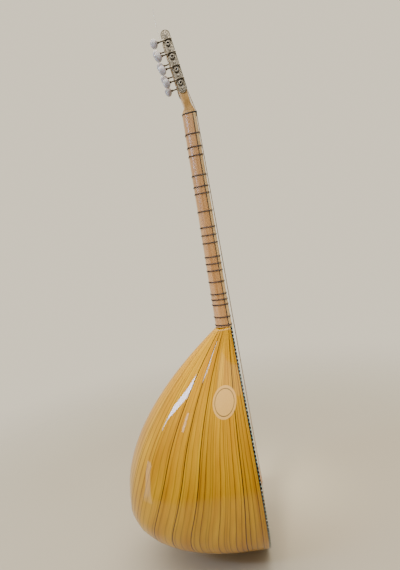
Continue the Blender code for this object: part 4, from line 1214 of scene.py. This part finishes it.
def make_floor():
    """A pale matt floor under the saz that fades into the room, so that no horizon shows."""
    bpy.ops.object.select_all(action="DESELECT")
    bpy.ops.mesh.primitive_circle_add(vertices=96, radius=2.4, fill_type="NGON")
    floor = bpy.context.active_object
    floor.name = floor.data.name = "studio_floor"
    floor.data.transform(Matrix.Translation((0, 0, cad_box[0].z - 0.0005)))
    made, node = new_material("pale matt floor")
    place = node("TexCoord").outputs["Object"]
    drift = node("TexNoise", {"Vector": place, "Scale": 1.5, "Detail": 2.0})
    colour = node("ValToRGB", {"Fac": drift}, ramp=((0.3, "#b9b2a3"), (0.7, "#bfb9ab")))
    shader = node("BsdfPrincipled", {"Base Color": colour, "Roughness": 0.7})
    radius = node("VectorMath", {0: place}, operation="LENGTH").outputs["Value"]
    fade = node("MapRange", {
        "Value": radius, "From Min": 0.35, "From Max": 1.5,
    }, interpolation_type="SMOOTHSTEP")
    clear = node("BsdfTransparent")
    both = node("MixShader", {0: fade, 1: shader, 2: clear})
    node("OutputMaterial", {"Surface": both})
    floor.data.materials.append(made)


def lamp(name, kind, place, target, colour, long_axis=(0, 0, 1), **settings):
    """A lamp that shines from its place at a target; `long_axis` is the way its Y leans."""
    data = bpy.data.lights.new(name, kind)
    for key, value in settings.items():
        setattr(data, key, value)
    data.color = linear(colour)[:3]
    back = (Vector(place) - Vector(target)).normalized()
    tall_axis = (Vector(long_axis) - back * back.dot(Vector(long_axis))).normalized()
    axes = Matrix((tall_axis.cross(back), tall_axis, back)).transposed().to_4x4()
    obj = linked(name, data)
    obj.matrix_world = Matrix.Translation(place) @ axes
    return obj


def area_light(name, place, target, wide, tall, radiance, colour, long_axis=(0, 0, 1)):
    """A soft lamp; `radiance` is how bright its face looks, and `long_axis` runs along `tall`."""
    panel = lamp(name, "AREA", place, target, colour, long_axis, shape="RECTANGLE", size=wide,
                 size_y=tall, energy=radiance * math.pi * wide * tall)
    panel.visible_camera = False


def make_lights():
    """Daylight from a window at the upper left, with the walls and the ceiling it brightens."""
    bowl_front = (-0.045, -0.005, 0.32)
    # The lacquer mirrors the window as one narrow band across the shoulder.
    area_light("window", (-0.679, 1.078, 1.085), bowl_front, 0.072, 0.68, 40, "#b4d4ff",
               (0.523, 0.727, -0.445))
    area_light("window_side_pane", (-1.12, 0.54, 1.215), bowl_front, 0.14, 0.016, 22, "#f4f8ff")
    area_light("window_low_pane", (-1.06, 0.84, 1.02), bowl_front, 0.04, 0.16, 7, "#f4f8ff",
               (0.1, 0.2, -1.0))
    area_light("ceiling", (-0.3, 0.1, 2.2), (0, 0, 0.4), 2.4, 2.4, 3.9, "#fff3e0", (0, 1, 0))
    # The bowl's left edge mirrors the side wall; the plates and the neck mirror the upper one.
    area_light("side_wall", (-0.42, 1.5, 0.12), (-0.08, 0.08, 0.19), 0.45, 0.7, 2.8, "#f4f1ea")
    area_light("upper_wall", (-1.8, -0.1, 1.66), (-0.03, -0.1, 0.9), 1.1, 0.5, 1.2, "#fff8ee")
    # A beam on the shoulder of the bowl that the lacquer doesn't mirror
    beam = lamp("shoulder_beam", "SPOT", (-0.55, 0.1, 1.6), (-0.03, -0.07, 0.41), "#fff2d8",
                energy=105, shadow_soft_size=0.12, spot_size=math.radians(12.5), spot_blend=1.0)
    beam.visible_glossy = False


def make_world():
    """A pale room that is darker behind the camera, where the lacquer reflects it."""
    world = bpy.data.worlds.new("pale_room")
    world.use_nodes = True
    world.node_tree.nodes.clear()
    node = partial(add, world.node_tree)
    toward = node("SeparateXYZ", {"Vector": node("TexCoord").outputs["Generated"]}).outputs["X"]
    light = node("MapRange", {
        "Value": toward, "From Min": -0.4, "From Max": 0.25, "To Min": 0.17, "To Max": 1.05,
    }, interpolation_type="SMOOTHSTEP")
    seen = node("Math", {
        0: node("LightPath").outputs["Is Camera Ray"], 1: 1.08,
    }, operation="MULTIPLY")
    strength = node("Math", {0: light, 1: seen}, operation="MAXIMUM")
    glow = node("Background", {"Color": linear("#fff3d8"), "Strength": strength})
    node("OutputWorld", {"Surface": glow})
    bpy.context.scene.world = world


def make_camera():
    """The photograph's view: close to the near side, turned 10 degrees about its own axis."""
    yaw, pitch, roll = (math.radians(a) for a in (0.946, 5.857, -9.963))
    turn = Matrix.Rotation(yaw, 3, "Z") @ Matrix.Rotation(pitch, 3, "Y")
    ahead, right, up = (turn @ Vector(axis) for axis in ((1, 0, 0), (0, -1, 0), (0, 0, 1)))
    across = math.cos(roll) * right + math.sin(roll) * up
    above = -math.sin(roll) * right + math.cos(roll) * up
    photo_height, focal_length = 570, 430  # pixels, as the fit of the outline gave them
    data = bpy.data.cameras.new("photo_camera")
    data.sensor_fit = "VERTICAL"
    data.sensor_height = 36
    data.lens = 36 * focal_length / photo_height
    data.clip_start = 0.01
    camera = linked("photo_camera", data)
    axes = Matrix((across, above, -ahead)).transposed().to_4x4()
    camera.matrix_world = Matrix.Translation((-0.7850, -0.0870, 0.5903)) @ axes
    bpy.context.scene.camera = camera


make_camera()
make_loose_end()
make_bowl()
make_label()
make_board_and_binding()
make_neck()
make_frets()
make_headstock()
make_plates()
make_tuners()
make_strings()
refined("nut", 0.2, EBONY, "ebony")
refined("bridge", 0.35, NECK_WOOD, "neck wood")
refined("tail_piece", 0.3, EBONY, "ebony")
for inner, material in (
    ("neck_veneer", VENEER),
    ("neck_block", INNER), ("tail_block", INNER), ("soundboard_brace", INNER),
):
    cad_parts[inner].material_slots[0].material = material
make_floor()
make_world()
make_lights()
